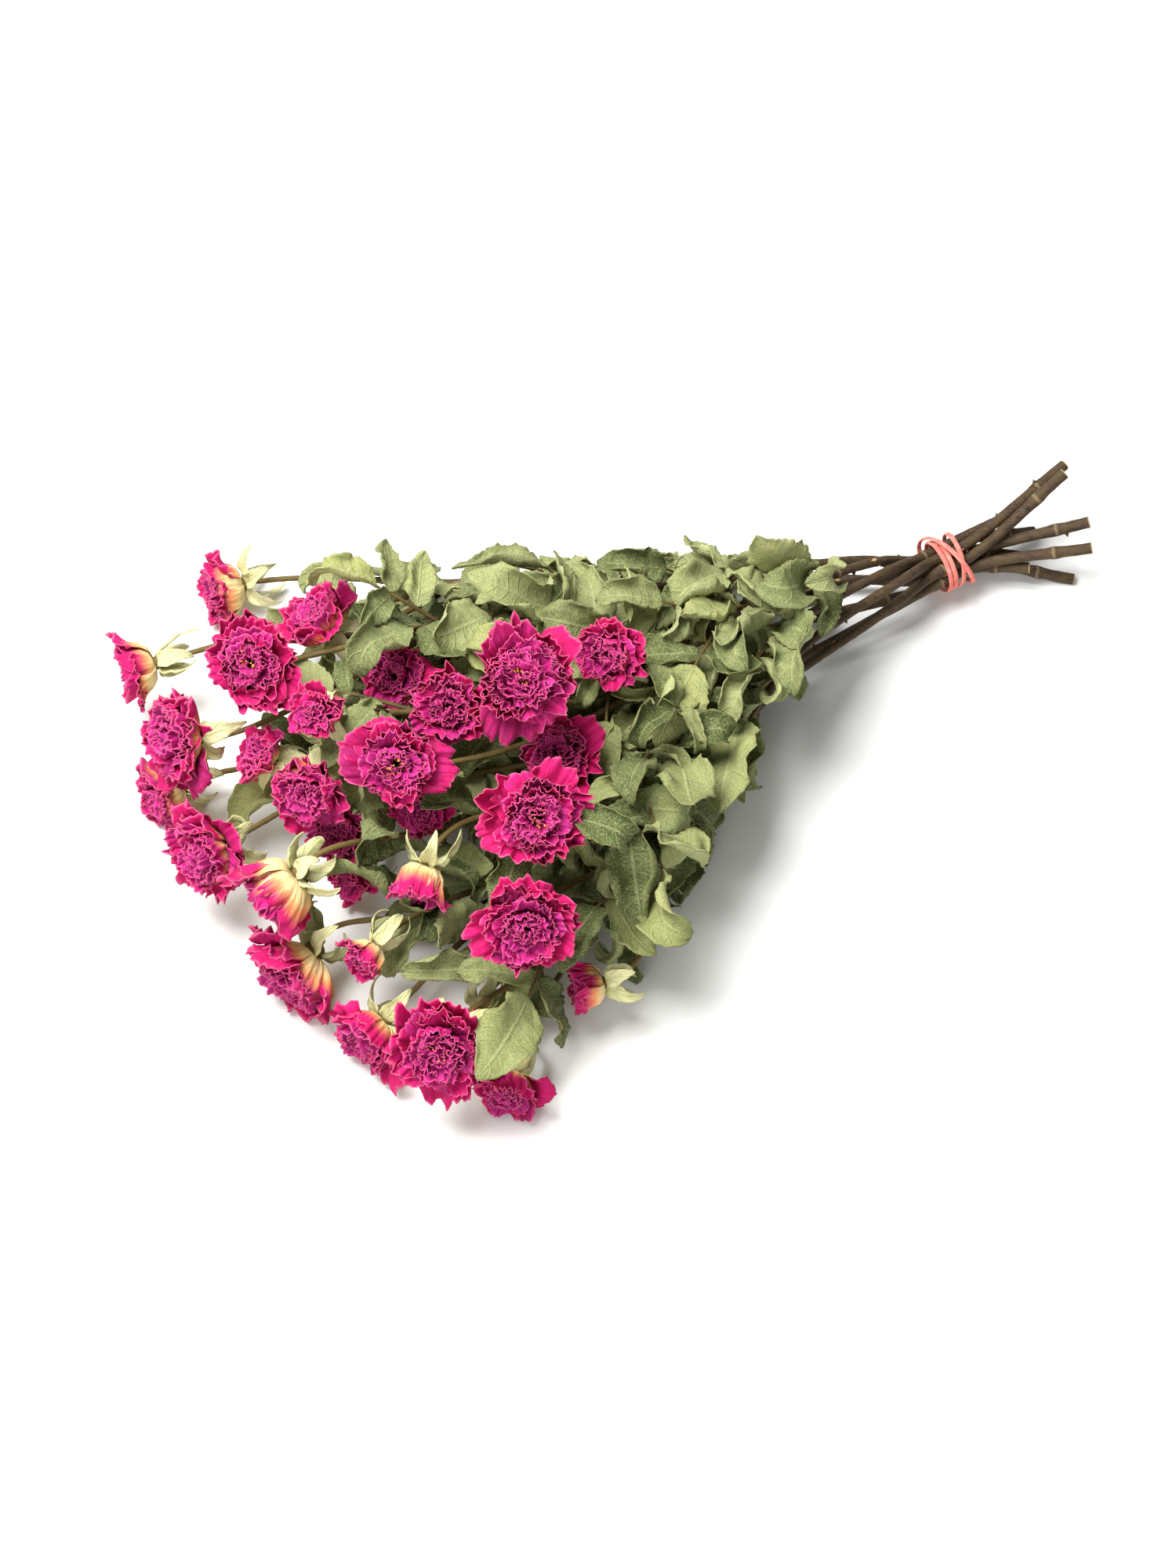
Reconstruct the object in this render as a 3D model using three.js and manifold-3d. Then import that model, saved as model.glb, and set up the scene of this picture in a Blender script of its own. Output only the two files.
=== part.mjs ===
// A bunch of dried spray roses, lying on a table: nine leafy stems crossed in a rubber band, thirty blooms.
// Millimetres, +Z up. The bunch is laid out with its origin on the table right under the band, +X towards the
// cut ends of the stems and -Y towards the front. The last lines move it so that the origin is the middle of
// its footprint on the table.
import * as THREE from "three";
import { mergeVertices } from "three/addons/utils/BufferGeometryUtils.js";
import Module from "manifold-3d";

const wasm = await Module();
wasm.setup();

// ---- driving dimensions -----------------------------------------------------------------------------------
const TIE_HEIGHT = 16; // middle of the bundle above the table, at the band
const TIE_HEADING = 30; // degrees that the bundle is turned from +X towards +Y at the band
const TIE_RING = 6.75; // from the middle stem to the ring of eight stems round it
const TIE_WIDTH = 17; // length of the bundle in which the stems run side by side
const CUT_RADIUS = 2.5; // stem radius at the cut end
const SHOOT_RADIUS = 1.15; // radius of a flower shoot, and of a stem just under its bloom
const SHOOT_ROOT = 1.55; // radius of a flower shoot where it leaves its stem
const HIP_WIDTH = 0.2; // hip radius as a share of the bloom's radius
const HIP_LEAST = 2.1; // least hip radius
const HIP_LENGTH = 7;
const STALK_RADIUS = 0.8; // of a leaf
const STALK_LENGTHS = { short: 22, long: 38 }; // of a leaf with one pair of leaflets and with two
const STALK_DROOP = 0.12; // how far a leaf stalk's end hangs down, as a share of its length
const PETAL_THICKNESS = 0.9;
const LEAF_THICKNESS = 0.8;
const STRAND_RADIUS = 1; // of the rubber band
const STRAND_PITCH = 2.3; // between strands side by side
const BAND_TURNS = 4;
const BAND_APART = 4; // more than that between the last turn and the others
const SEPAL_LENGTH = 13;
const SEPAL_BEND = 38; // degrees that a sepal hangs back
const SEPAL_WIDTH = 3.4; // halfway along it
const STEM_SIDES = 5;
const GAP = 0.4; // between touching pieces
const LEAFLET_LENGTH = 34;
const LEAFLET_WIDTH = 0.6; // as a share of its length
const SCRAP = 1e-4; // cubic millimetres: two solids that share less are clear of each other

// Blooms: middle, the way the bloom faces, radius to the rim of its petals, and how far open it is.
const BLOOMS = {
  bloom_01: { at: [-298, -12, 14], faces: [-1, -0.34, 0.09], radius: 16, open: 0.6 },
  bloom_02: { at: [-256, -53, 60], faces: [-0.5, 0.18, 0.68], radius: 17, open: 0.7 },
  bloom_03: { at: [-280, -87, 80], faces: [-0.1, -0.46, 0.89], radius: 20, open: 1 },
  bloom_04: { at: [-331, -60, 30], faces: [-1, -0.31, -0.06], radius: 15, open: 0.5 },
  bloom_05: { at: [-310, -110, 60], faces: [-0.8, -0.3, 0.52], radius: 20, open: 0.95 },
  bloom_06: { at: [-318, -111, 14], faces: [-0.8, -0.53, 0.08], radius: 16, open: 0.7 },
  bloom_07: { at: [-298, -151, 40], faces: [-0.7, -0.65, 0.32], radius: 19.5, open: 0.9 },
  bloom_08: { at: [-253, -121, 100], faces: [-0.3, -0.47, 0.82], radius: 12, open: 0.8 },
  bloom_09: { at: [-277, -111, 52], faces: [-0.6, -0.04, 0.67], radius: 13, open: 0.8 },
  bloom_10: { at: [-256, -144, 77], faces: [-0.3, -0.75, 0.49], radius: 17, open: 0.9 },
  bloom_11: { at: [-224, -82, 62], faces: [-0.2, -0.39, 0.87], radius: 16, open: 0.9 },
  bloom_12: { at: [-202, -108, 82], faces: [-0.2, -0.47, 0.82], radius: 18, open: 0.9 },
  bloom_13: { at: [-221, -145, 101], faces: [0, -0.59, 0.82], radius: 19, open: 1 },
  bloom_14: { at: [-173, -113, 112], faces: [0.05, -0.5, 0.87], radius: 22.5, open: 1 },
  bloom_15: { at: [-139, -86, 85], faces: [-0.3, -0.49, 0.75], radius: 16, open: 0.85 },
  bloom_16: { at: [-159, -122, 70], faces: [-0.2, -0.39, 0.87], radius: 17, open: 0.9 },
  bloom_17: { at: [-167, -165, 95], faces: [0, -0.59, 0.82], radius: 21, open: 1 },
  bloom_18: { at: [-171, -200, 72], faces: [0, -0.75, 0.6], radius: 20, open: 0.95 },
  bloom_19: { at: [-213, -183, 70], faces: [-0.3, -0.83, -0.36], radius: 14, open: 0.4 },
  bloom_20: { at: [-269, -177, 56], faces: [-0.7, -0.4, -0.52], radius: 19, open: 0.55 },
  bloom_21: { at: [-263, -195, 21], faces: [-0.6, -0.75, -0.15], radius: 23, open: 0.8 },
  bloom_22: { at: [-234, -221, 18], faces: [-0.6, -0.72, 0.05], radius: 17, open: 0.75 },
  bloom_23: { at: [-204, -238, 41], faces: [-0.1, -0.75, 0.6], radius: 21, open: 1 },
  bloom_24: { at: [-179, -242, 13], faces: [-0.2, -0.9, 0.17], radius: 15, open: 0.7 },
  bloom_25: { at: [-190, -218, 24], faces: [-0.1, -0.9, 0.17], radius: 8.5, open: 0.4 },
  bloom_26: { at: [-150, -202, 25], faces: [-0.95, -0.27, 0.07], radius: 12.6, open: 0.4 },
  bloom_27: { at: [-246, -145, 45], faces: [-0.4, -0.57, 0.6], radius: 14, open: 0.8 },
  bloom_28: { at: [-242, -149, 16], faces: [-0.5, -0.68, 0.18], radius: 12, open: 0.6 },
  bloom_29: { at: [-213, -144, 63], faces: [-0.1, -0.83, 0.44], radius: 13, open: 0.8 },
  bloom_30: { at: [-235, -199, 42], faces: [-0.5, -0.72, 0.05], radius: 11, open: 0.5 },
};

// Stems: seat in the band (degrees round from the top towards the back, null in the middle), cut end, the
// points between the band and the top bloom. A shoot leaves it at a share of its length from the cut end,
// and its leaves stand along a stretch of it.
const STEMS = [
  {
    seat: 180,
    cut: [53, 1, 1.4],
    way: [[-33, -3, 7.5], [-90, -5, 14], [-160, -10, 24], [-240, -30, 30]],
    top: "bloom_04",
    shoots: [{ from: 0.62, bloom: "bloom_01" }, { from: 0.66, bloom: "bloom_02" }],
    leaves: { first: 0.3, last: 0.76, count: 6 },
  },
  {
    seat: 135,
    cut: [31, 6, 11],
    way: [[-32, -4, 24], [-76, -18, 38], [-150, -40, 52], [-220, -62, 62]],
    top: "bloom_03",
    shoots: [{ from: 0.57, bloom: "bloom_11" }, { from: 0.68, bloom: "bloom_05" }],
    leaves: { first: 0.28, last: 0.74, count: 6 },
  },
  {
    seat: 225,
    cut: [34, -1, 13.5],
    way: [[-25, -16, 12.5], [-68, -32, 18], [-150, -65, 22], [-235, -92, 22]],
    top: "bloom_06",
    shoots: [{ from: 0.62, bloom: "bloom_09" }, { from: 0.66, bloom: "bloom_07" }],
    leaves: { first: 0.32, last: 0.82, count: 4 },
  },
  {
    seat: null,
    cut: [58, 12, 28],
    way: [[-27, -14, 27], [-67, -34, 41], [-140, -70, 55], [-198, -95, 60]],
    top: "bloom_08",
    shoots: [{ from: 0.57, bloom: "bloom_12" }, { from: 0.66, bloom: "bloom_10" }],
    leaves: { first: 0.34, last: 0.72, count: 4 },
  },
  {
    seat: 270,
    cut: [59, 2, 24],
    way: [[-22, -21, 15], [-64, -46, 13], [-130, -85, 16], [-195, -130, 30]],
    top: "bloom_20",
    shoots: [{ from: 0.66, bloom: "bloom_28" }, { from: 0.63, bloom: "bloom_27" }],
    leaves: { first: 0.42, last: 0.84, count: 4 },
  },
  {
    seat: 90,
    cut: [37, 20, 8],
    way: [[-29, -9.5, 32], [-67, -34, 48], [-118, -68, 56], [-152, -96, 65]],
    top: "bloom_14",
    shoots: [{ from: 0.51, bloom: "bloom_15" }, { from: 0.57, bloom: "bloom_13", bow: [0, -35, 5] }],
    leaves: { first: 0.36, last: 0.66, count: 4 },
  },
  {
    seat: 45,
    cut: [33, 26, 16],
    way: [[-26, -16, 34.5], [-60, -46, 48], [-105, -92, 53], [-146, -142, 64]],
    top: "bloom_17",
    shoots: [{ from: 0.57, bloom: "bloom_16" }, { from: 0.66, bloom: "bloom_29" }],
    leaves: { first: 0.42, last: 0.8, count: 4 },
  },
  {
    seat: 315,
    cut: [48, 30, 37],
    way: [[-28, -31, 26], [-75, -66, 22], [-130, -115, 22], [-190, -165, 24]],
    top: "bloom_21",
    shoots: [
      { from: 0.57, bloom: "bloom_19" },
      { from: 0.68, bloom: "bloom_30" },
      { from: 0.73, bloom: "bloom_22" },
    ],
    leaves: { first: 0.4, last: 0.84, count: 5 },
  },
  {
    seat: 0,
    cut: [49, 40, 28],
    way: [[-18, -19, 35], [-60, -52, 35], [-80, -80, 32], [-125, -150, 36], [-165, -195, 34]],
    top: "bloom_23",
    shoots: [
      { from: 0.46, bloom: "bloom_24" },
      { from: 0.57, bloom: "bloom_26" },
      { from: 0.63, bloom: "bloom_18" },
      { from: 0.73, bloom: "bloom_25" },
    ],
    leaves: { first: 0.42, last: 0.84, count: 5 },
  },
];

// ---- small tools ------------------------------------------------------------------------------------------
const UP = new THREE.Vector3(0, 0, 1);
const NEARLY_UPRIGHT = 0.97; // upward part of a unit vector from which level is no guide to its across
const radians = THREE.MathUtils.degToRad;
const vector = (p) => new THREE.Vector3(...p);
const unit = (p) => vector(p).normalize();

// A stream of numbers from 0 to 1 that is the same each time for the same seed.
function draws(seed) {
  let state = 1000 + seed * 7919;
  const next = () => (state = (state * 16807) % 2147483647) / 2147483647;
  next();
  next();
  return next;
}

// Three unit vectors: along, across (level where it can be) and normal (upwards where it can be).
function frameAlong(direction) {
  const along = direction.clone().normalize();
  const side = Math.abs(along.z) > NEARLY_UPRIGHT ? new THREE.Vector3(0, 1, 0) : UP;
  const across = new THREE.Vector3().crossVectors(side, along).normalize();
  const normal = new THREE.Vector3().crossVectors(along, across);
  return { along, across, normal };
}

// A frame rolled about its own length, then pitched about its across.
function turned(frame, roll, pitch) {
  const along = frame.along.clone();
  const across = frame.across.clone().applyAxisAngle(along, radians(roll));
  along.applyAxisAngle(across, radians(pitch));
  return { along, across, normal: new THREE.Vector3().crossVectors(along, across) };
}

// A frame's point: s along, w across and h up from its start.
function place(start, frame, s, w, h) {
  const { along, across, normal } = frame;
  return start.clone().addScaledVector(along, s).addScaledVector(across, w).addScaledVector(normal, h);
}

function solidOf(geometry) {
  const bare = new THREE.BufferGeometry().setAttribute("position", geometry.getAttribute("position"));
  bare.setIndex(geometry.index);
  const merged = mergeVertices(bare, 1e-4);
  return new wasm.Manifold(
    new wasm.Mesh({
      numProp: 3,
      vertProperties: merged.attributes.position.array,
      triVerts: new Uint32Array(merged.index.array),
    }),
  );
}

function geometryOf(solid) {
  const mesh = solid.getMesh();
  const points = new Float32Array(mesh.numVert * 3);
  for (let i = 0; i < mesh.numVert; i++) {
    points.set(mesh.vertProperties.subarray(i * mesh.numProp, i * mesh.numProp + 3), i * 3);
  }
  const geometry = new THREE.BufferGeometry().setAttribute("position", new THREE.BufferAttribute(points, 3));
  geometry.setIndex(new THREE.BufferAttribute(mesh.triVerts, 1));
  geometry.computeVertexNormals();
  return geometry;
}

// A closed solid from points and triangles.
function solidFrom({ points, triangles }) {
  const flat = new Float32Array(points.flatMap((p) => [p.x, p.y, p.z]));
  const geometry = new THREE.BufferGeometry().setAttribute("position", new THREE.BufferAttribute(flat, 3));
  geometry.setIndex(triangles.flat());
  return solidOf(geometry);
}

// The biggest body of a solid: a scrap that hangs on nothing is dropped.
function mainBody(solid) {
  return solid.decompose().sort((a, b) => b.volume() - a.volume())[0];
}

// ---- surfaces under construction --------------------------------------------------------------------------
// A surface is a list of points and one of triangles, which turn anticlockwise seen from outside.
function addPoints(surface, points) {
  return points.map((p) => surface.points.push(p) - 1);
}

function addQuad(surface, a, b, c, d) {
  surface.triangles.push([a, b, c], [a, c, d]);
}

// A flat face that closes a ring of points.
function addCap(surface, ring) {
  for (let k = 1; k + 1 < ring.length; k++) surface.triangles.push([ring[0], ring[k], ring[k + 1]]);
}

// The four corners of the face between two rings, one above the other.
function faceBetween(lower, upper, k) {
  const next = (k + 1) % lower.length;
  return [lower[k], lower[next], upper[next], upper[k]];
}

// A blade that grows out of a face: its rim runs from the face's first side round its tip to the second side.
// Each side of it fans out from its middle, so a waved blade's two sides never cross.
function growBlade(surface, [low1, low2, high2, high1], rim, middle, normal, thickness) {
  const half = normal.clone().multiplyScalar(thickness / 2);
  const upper = [high1, ...addPoints(surface, rim.map((p) => p.clone().add(half))), high2];
  const lower = [low1, ...addPoints(surface, rim.map((p) => p.clone().sub(half))), low2];
  const [above, below] = addPoints(surface, [middle.clone().add(half), middle.clone().sub(half)]);
  for (let k = 0; k + 1 < upper.length; k++) {
    surface.triangles.push([above, upper[k], upper[k + 1]], [below, lower[k + 1], lower[k]]);
    addQuad(surface, lower[k], lower[k + 1], upper[k + 1], upper[k]);
  }
  surface.triangles.push([above, high2, high1], [below, low1, low2]);
}

// A point that grows out of a face by way of one ring of four points.
function growPoint(surface, face, ring, tip) {
  const middle = addPoints(surface, ring);
  const [end] = addPoints(surface, [tip]);
  for (let k = 0; k < 4; k++) {
    const next = (k + 1) % 4;
    addQuad(surface, face[k], face[next], middle[next], middle[k]);
    surface.triangles.push([middle[k], middle[next], end]);
  }
}

// ---- blooms -----------------------------------------------------------------------------------------------
// How far out and how high a petal is at a share of its length, as it bends from one lean to another.
function petalProfile(length, lean, rimLean, share) {
  const [first, bend] = [radians(lean), radians(rimLean - lean)];
  const here = first + bend * share;
  return {
    out: (length * (Math.cos(first) - Math.cos(here))) / bend,
    up: (length * (Math.sin(here) - Math.sin(first))) / bend,
  };
}

// The middle of the bloom's underside, where its petals meet the hip. The less open a bloom is, the deeper.
function bloomBase(bloom) {
  return vector(bloom.at).addScaledVector(unit(bloom.faces), -(0.8 - 0.4 * bloom.open) * bloom.radius);
}

// The rings of a bloom's core from its foot up: radius as a share of the bloom's, and height.
function coreRings(radius) {
  return [
    { out: 0.2 * radius, up: 0 },
    { out: 0.26 * radius, up: 1.4 },
    { out: 0.15 * radius, up: 0.36 * radius },
  ];
}

// The two whorls: how far a petal leans out in degrees at its root and at its rim, its length and half its
// width as shares of the bloom's radius. The more open the bloom, the more its petals lean and the shorter.
function whorlsOf(open) {
  return [
    { lean: 62 * open - 10, rimLean: 32 + 70 * open, reach: 1.29 - 0.45 * open, halfWidth: 0.5 },
    { lean: 35 * open - 9, rimLean: 9 + 53 * open, reach: 1.19 - 0.47 * open, halfWidth: 0.42 },
  ];
}

const BROAD_BLOOM = 15; // radius above which a bloom has five petals in a whorl and not four
const PETAL_ROOT = 0.22; // from the bloom's axis to a petal's root, as a share of the bloom's radius
const WHORL_RISE = 0.18; // of the inner whorl's roots above the outer's, likewise
const ROOT_RISE = 0.7; // of the outer whorl's roots above the foot
const PETAL_SPREAD = 0.66; // most half width of a petal, as a share of its distance from the axis
const RUFFLE = 0.06; // height of a rim's waves, as a share of the bloom's radius

// The rim and the middle of one petal, and the way that its inside faces.
function petalShape(bloom, base, along, outward, whorl, layer, next) {
  const { radius } = bloom;
  const across = new THREE.Vector3().crossVectors(along, outward);
  const root = PETAL_ROOT * radius;
  const rootUp = layer * WHORL_RISE * radius + ROOT_RISE;
  const length = radius * whorl.reach * (0.94 + 0.12 * next());
  const ruffle = radius * RUFFLE * (next() > 0.5 ? 1 : -1);
  const rimLean = whorl.rimLean + 8 * (next() - 0.5);
  const at = (share, side, lift) => {
    const p = petalProfile(length, whorl.lean, rimLean, share);
    const half = Math.min(whorl.halfWidth * radius, PETAL_SPREAD * (p.out + root));
    return base
      .clone()
      .addScaledVector(outward, p.out + root)
      .addScaledVector(along, p.up + rootUp + lift)
      .addScaledVector(across, half * side);
  };
  const slope = radians((whorl.lean + rimLean) / 2);
  return {
    rim: [at(0.55, -1, ruffle), at(0.95, -0.6, -ruffle), at(1, 0.6, ruffle), at(0.58, 1, -ruffle)],
    middle: at(0.55, 0, -0.4 * Math.abs(ruffle)),
    normal: along.clone().multiplyScalar(Math.sin(slope)).addScaledVector(outward, -Math.cos(slope)),
  };
}

// A bloom: a core of three rings, with a petal out of every second face of each of its two bands.
function bloomSolid(bloom, seed) {
  const next = draws(seed);
  const { radius, open } = bloom;
  const frame = frameAlong(vector(bloom.faces));
  const base = bloomBase(bloom);
  const surface = { points: [], triangles: [] };
  const start = 360 * next();
  const sidewaysAt = (round) => frame.across.clone().applyAxisAngle(frame.along, radians(round));
  const sides = radius > BROAD_BLOOM ? 10 : 8;
  const corners = Array.from({ length: sides }, (_, k) => sidewaysAt(start + (360 * k) / sides));
  const rings = coreRings(radius).map(({ out, up }) => {
    const centre = base.clone().addScaledVector(frame.along, up);
    return addPoints(surface, corners.map((c) => centre.clone().addScaledVector(c, out)));
  });
  addCap(surface, [...rings[0]].reverse());
  addCap(surface, rings[2]);
  whorlsOf(open).forEach((whorl, layer) => {
    for (let k = 0; k < sides; k++) {
      const face = faceBetween(rings[layer], rings[layer + 1], k);
      if (k % 2 !== layer) {
        addQuad(surface, ...face);
        continue;
      }
      const outward = sidewaysAt(start + (360 * (k + 0.5)) / sides);
      const petal = petalShape(bloom, base, frame.along, outward, whorl, layer, next);
      growBlade(surface, face, petal.rim, petal.middle, petal.normal, PETAL_THICKNESS);
    }
  });
  return solidFrom(surface);
}

// ---- stems ------------------------------------------------------------------------------------------------
const heading = radians(TIE_HEADING);
const bundleAxis = new THREE.Vector3(Math.cos(heading), Math.sin(heading), 0);
const bundleBack = new THREE.Vector3(-Math.sin(heading), Math.cos(heading), 0);
const tieMiddle = new THREE.Vector3(0, 0, TIE_HEIGHT);

function tieSeat(seat) {
  if (seat === null) return tieMiddle.clone();
  return tieMiddle
    .clone()
    .addScaledVector(UP, TIE_RING * Math.cos(radians(seat)))
    .addScaledVector(bundleBack, TIE_RING * Math.sin(radians(seat)));
}

// Where a shoot ends: just under the bloom, running into it the way that the bloom faces.
function shootEnd(bloom) {
  return bloomBase(bloom).addScaledVector(unit(bloom.faces), -GAP);
}

// The stem from its cut end, straight through the band, to its top bloom.
function stemCurve(stem) {
  const bloom = BLOOMS[stem.top];
  const besideTie = (s) => tieSeat(stem.seat).addScaledVector(bundleAxis, s);
  const [into, outOf] = [besideTie(TIE_WIDTH / 2), besideTie(-TIE_WIDTH / 2)];
  const end = shootEnd(bloom);
  const before = end.clone().addScaledVector(unit(bloom.faces), -2 * HIP_LENGTH);
  const stations = [vector(stem.cut), into, outOf, ...stem.way.map(vector), before, end];
  return new THREE.CatmullRomCurve3(stations);
}

// A shoot leaves its stem along it and bends round to its bloom. Bow is a sideways push on its way.
function shootCurve(stem, shoot) {
  const bloom = BLOOMS[shoot.bloom];
  const bow = vector(shoot.bow ?? [0, 0, 0]);
  const start = stem.getPointAt(shoot.from);
  const end = shootEnd(bloom);
  const reach = start.distanceTo(end);
  const leave = start.clone().addScaledVector(stem.getTangentAt(shoot.from), 0.32 * reach).add(bow);
  const back = Math.max(0.3 * reach, 2 * HIP_LENGTH);
  const arrive = end.clone().addScaledVector(unit(bloom.faces), -back).addScaledVector(bow, 0.4);
  return new THREE.CubicBezierCurve3(start, leave, arrive, end);
}

// The two points of the hip, straight behind the bloom.
function hipPoints(bloom) {
  const end = shootEnd(bloom);
  return [end.clone().addScaledVector(unit(bloom.faces), -0.5 * HIP_LENGTH), end];
}

// The points of a stem's rings: its curve's own, with one between each two past the band, and the hip's.
function stemPath(curve, bloom) {
  const segments = curve.points.length - 1;
  const halves = Array.from({ length: 2 * segments - 1 }, (_, i) => i).filter((i) => i !== 1 && i !== 3);
  return [...halves.map((i) => curve.getPoint(i / (2 * segments))), ...hipPoints(bloom)];
}

// The points of a shoot's rings: evenly along it, then the hip's.
function shootPath(curve, bloom, steps) {
  const length = curve.getLength();
  const shares = Array.from({ length: steps }, (_, i) => (i / (steps - 1)) * (1 - HIP_LENGTH / length));
  return [...shares.map((u) => curve.getPointAt(u)), ...hipPoints(bloom)];
}

// Rings of points round a path, each with its own radius, turned as little as possible from one to the next.
// The first point of each ring is half a side on from the start direction.
function addRings(surface, path, radii, sides, start) {
  let across = start.clone();
  return path.map((centre, i) => {
    const ahead = path[Math.min(i + 1, path.length - 1)].clone().sub(path[Math.max(i - 1, 0)]).normalize();
    across = across.clone().addScaledVector(ahead, -across.dot(ahead)).normalize();
    const out = Array.from({ length: sides }, (_, k) =>
      across.clone().applyAxisAngle(ahead, (2 * Math.PI * (k + 0.5)) / sides),
    );
    return addPoints(surface, out.map((o) => centre.clone().addScaledVector(o, radii[i])));
  });
}

// A sepal out of one face of a hip, bent back: its ring halfway along and its tip.
function sepalShape(corners, hipEnd, along, next) {
  const root = corners.reduce((sum, p) => sum.add(p), new THREE.Vector3()).multiplyScalar(0.25);
  const outward = root.clone().sub(hipEnd);
  outward.addScaledVector(along, -outward.dot(along)).normalize();
  const across = new THREE.Vector3().crossVectors(along, outward);
  const length = SEPAL_LENGTH * (0.7 + 0.5 * next());
  const back = SEPAL_BEND + 30 * (next() - 0.5);
  const out = (lean, reach) =>
    root
      .clone()
      .addScaledVector(outward, reach * Math.cos(radians(lean)))
      .addScaledVector(along, -reach * Math.sin(radians(lean)));
  const middle = out(back - 14, 0.5 * length);
  const half = { width: SEPAL_WIDTH / 2, height: LEAF_THICKNESS / 2 };
  const ring = [[-1, -1], [1, -1], [1, 1], [-1, 1]].map(([w, h]) =>
    middle.clone().addScaledVector(across, w * half.width).addScaledVector(along, h * half.height),
  );
  return { ring, tip: out(back, length) };
}

// A stem or shoot with the hip that it ends in, and a sepal out of each of the hip's faces.
function stemWithHip(path, from, bloom, seed) {
  const next = draws(seed);
  const hip = Math.max(HIP_LEAST, HIP_WIDTH * bloom.radius);
  const last = path.length - 1;
  const thin = (i) => from + ((SHOOT_RADIUS - from) * i) / (last - 2);
  const surface = { points: [], triangles: [] };
  const start = frameAlong(path[1].clone().sub(path[0])).across;
  const radii = path.map((_, i) => (i > last - 2 ? hip : thin(i)));
  const rings = addRings(surface, path, radii, STEM_SIDES, start);
  for (let i = 0; i < last; i++) {
    for (let k = 0; k < STEM_SIDES; k++) {
      const face = faceBetween(rings[i], rings[i + 1], k);
      if (i + 1 < last) {
        addQuad(surface, ...face);
        continue;
      }
      const corners = face.map((n) => surface.points[n]);
      const { ring, tip } = sepalShape(corners, path[last], unit(bloom.faces), next);
      growPoint(surface, face, ring, tip);
    }
  }
  addCap(surface, [...rings[0]].reverse());
  addCap(surface, rings[last]);
  return solidFrom(surface);
}

// ---- leaves -----------------------------------------------------------------------------------------------
// The leaves of a stem: evenly along a stretch of it, to its two sides in turn, and up more than down. Every
// fourth leaf has two pairs of leaflets, the others one.
function leavesOf({ first, last, count }, next) {
  return Array.from({ length: count }, (_, k) => ({
    from: first + ((last - first) * k) / (count - 1),
    round: (k % 2 ? 1 : -1) * (15 + 45 * next()),
    size: 0.95 + 0.25 * next(),
    pairs: k % 4 === 2 ? 2 : 1,
  }));
}

// A leaf's stalk: it leaves the stem to one side and droops a little.
function stalkCurve(curve, leaf, swing) {
  const start = curve.getPointAt(leaf.from);
  const stemFrame = frameAlong(curve.getTangentAt(leaf.from));
  const side = stemFrame.normal.clone().applyAxisAngle(stemFrame.along, radians(-leaf.round - swing));
  const out = stemFrame.along.clone().multiplyScalar(0.72).addScaledVector(side, 0.7).normalize();
  const length = leaf.size * (leaf.pairs > 1 ? STALK_LENGTHS.long : STALK_LENGTHS.short);
  const end = start.clone().addScaledVector(out, length).addScaledVector(UP, -STALK_DROOP * length);
  return new THREE.QuadraticBezierCurve3(start, start.clone().addScaledVector(out, 0.5 * length), end);
}

// The rim and the middle of one leaflet: pointed, folded along its rib, arched, and waved at its edge.
function leafletShape({ start, frame, length, arch, fold }) {
  const half = (length * LEAFLET_WIDTH) / 2;
  const at = (s, w, wave) => {
    const height = fold * Math.abs(w) + wave * half - arch * length * s * s;
    return place(start, frame, s * length, w * half, height);
  };
  const edge = [[0.3, 0.95, 0.12], [0.7, 0.78, -0.12]];
  const rim = [
    ...edge.map(([s, w, wave]) => at(s, -w, -wave)),
    at(1, 0, 0),
    ...edge.map(([s, w, wave]) => at(s, w, wave)).reverse(),
  ];
  return { rim, middle: at(0.45, 0, 0) };
}

// A leaflet on its own, from a small root face, to test whether it is clear.
function leafletSolid(leaflet, thickness) {
  const surface = { points: [], triangles: [] };
  const half = thickness / 2;
  const corners = [[-0.5, -half], [0.5, -half], [0.5, half], [-0.5, half]];
  const face = addPoints(surface, corners.map(([w, h]) => place(leaflet.start, leaflet.frame, 0.3, w, h)));
  addCap(surface, [...face].reverse());
  const { rim, middle } = leafletShape(leaflet);
  growBlade(surface, face, rim, middle, leaflet.frame.normal, thickness);
  return solidFrom(surface);
}

// The stations of a leaf's pairs along its stalk, and its leaflets: those of each pair, then the end one.
function leafletsOf(stalk, leaf, next) {
  const stations = leaf.pairs > 1 ? [0.42, 0.8] : [0.55];
  const roll = 80 * (next() - 0.5);
  const across = turned(frameAlong(stalk.getTangentAt(0)), roll, 0).across;
  const leaflet = (share, side, spread, size) => {
    const along = stalk.getTangentAt(share);
    const right = across.clone().addScaledVector(along, -across.dot(along)).normalize();
    const normal = new THREE.Vector3().crossVectors(along, right);
    const out = along.clone().applyAxisAngle(normal, side * radians(spread));
    const flat = { along: out, across: new THREE.Vector3().crossVectors(normal, out), normal };
    return {
      share,
      side,
      start: stalk.getPointAt(share).addScaledVector(right, side * 0.7 * STALK_RADIUS),
      frame: turned(flat, 40 * (next() - 0.5), 36 * (next() - 0.4)),
      length: leaf.size * LEAFLET_LENGTH * size * (0.85 + 0.25 * next()),
      arch: 0.05 + 0.25 * next(),
      fold: 2 + 4 * next(),
    };
  };
  const pair = (share) => [1, -1].map((side) => leaflet(share, side, 64 + 14 * next(), 0.84));
  const leaflets = stations.flatMap(pair);
  leaflets.push(leaflet(1, 0, 0, 1.08));
  return { stations, across, leaflets };
}

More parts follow.
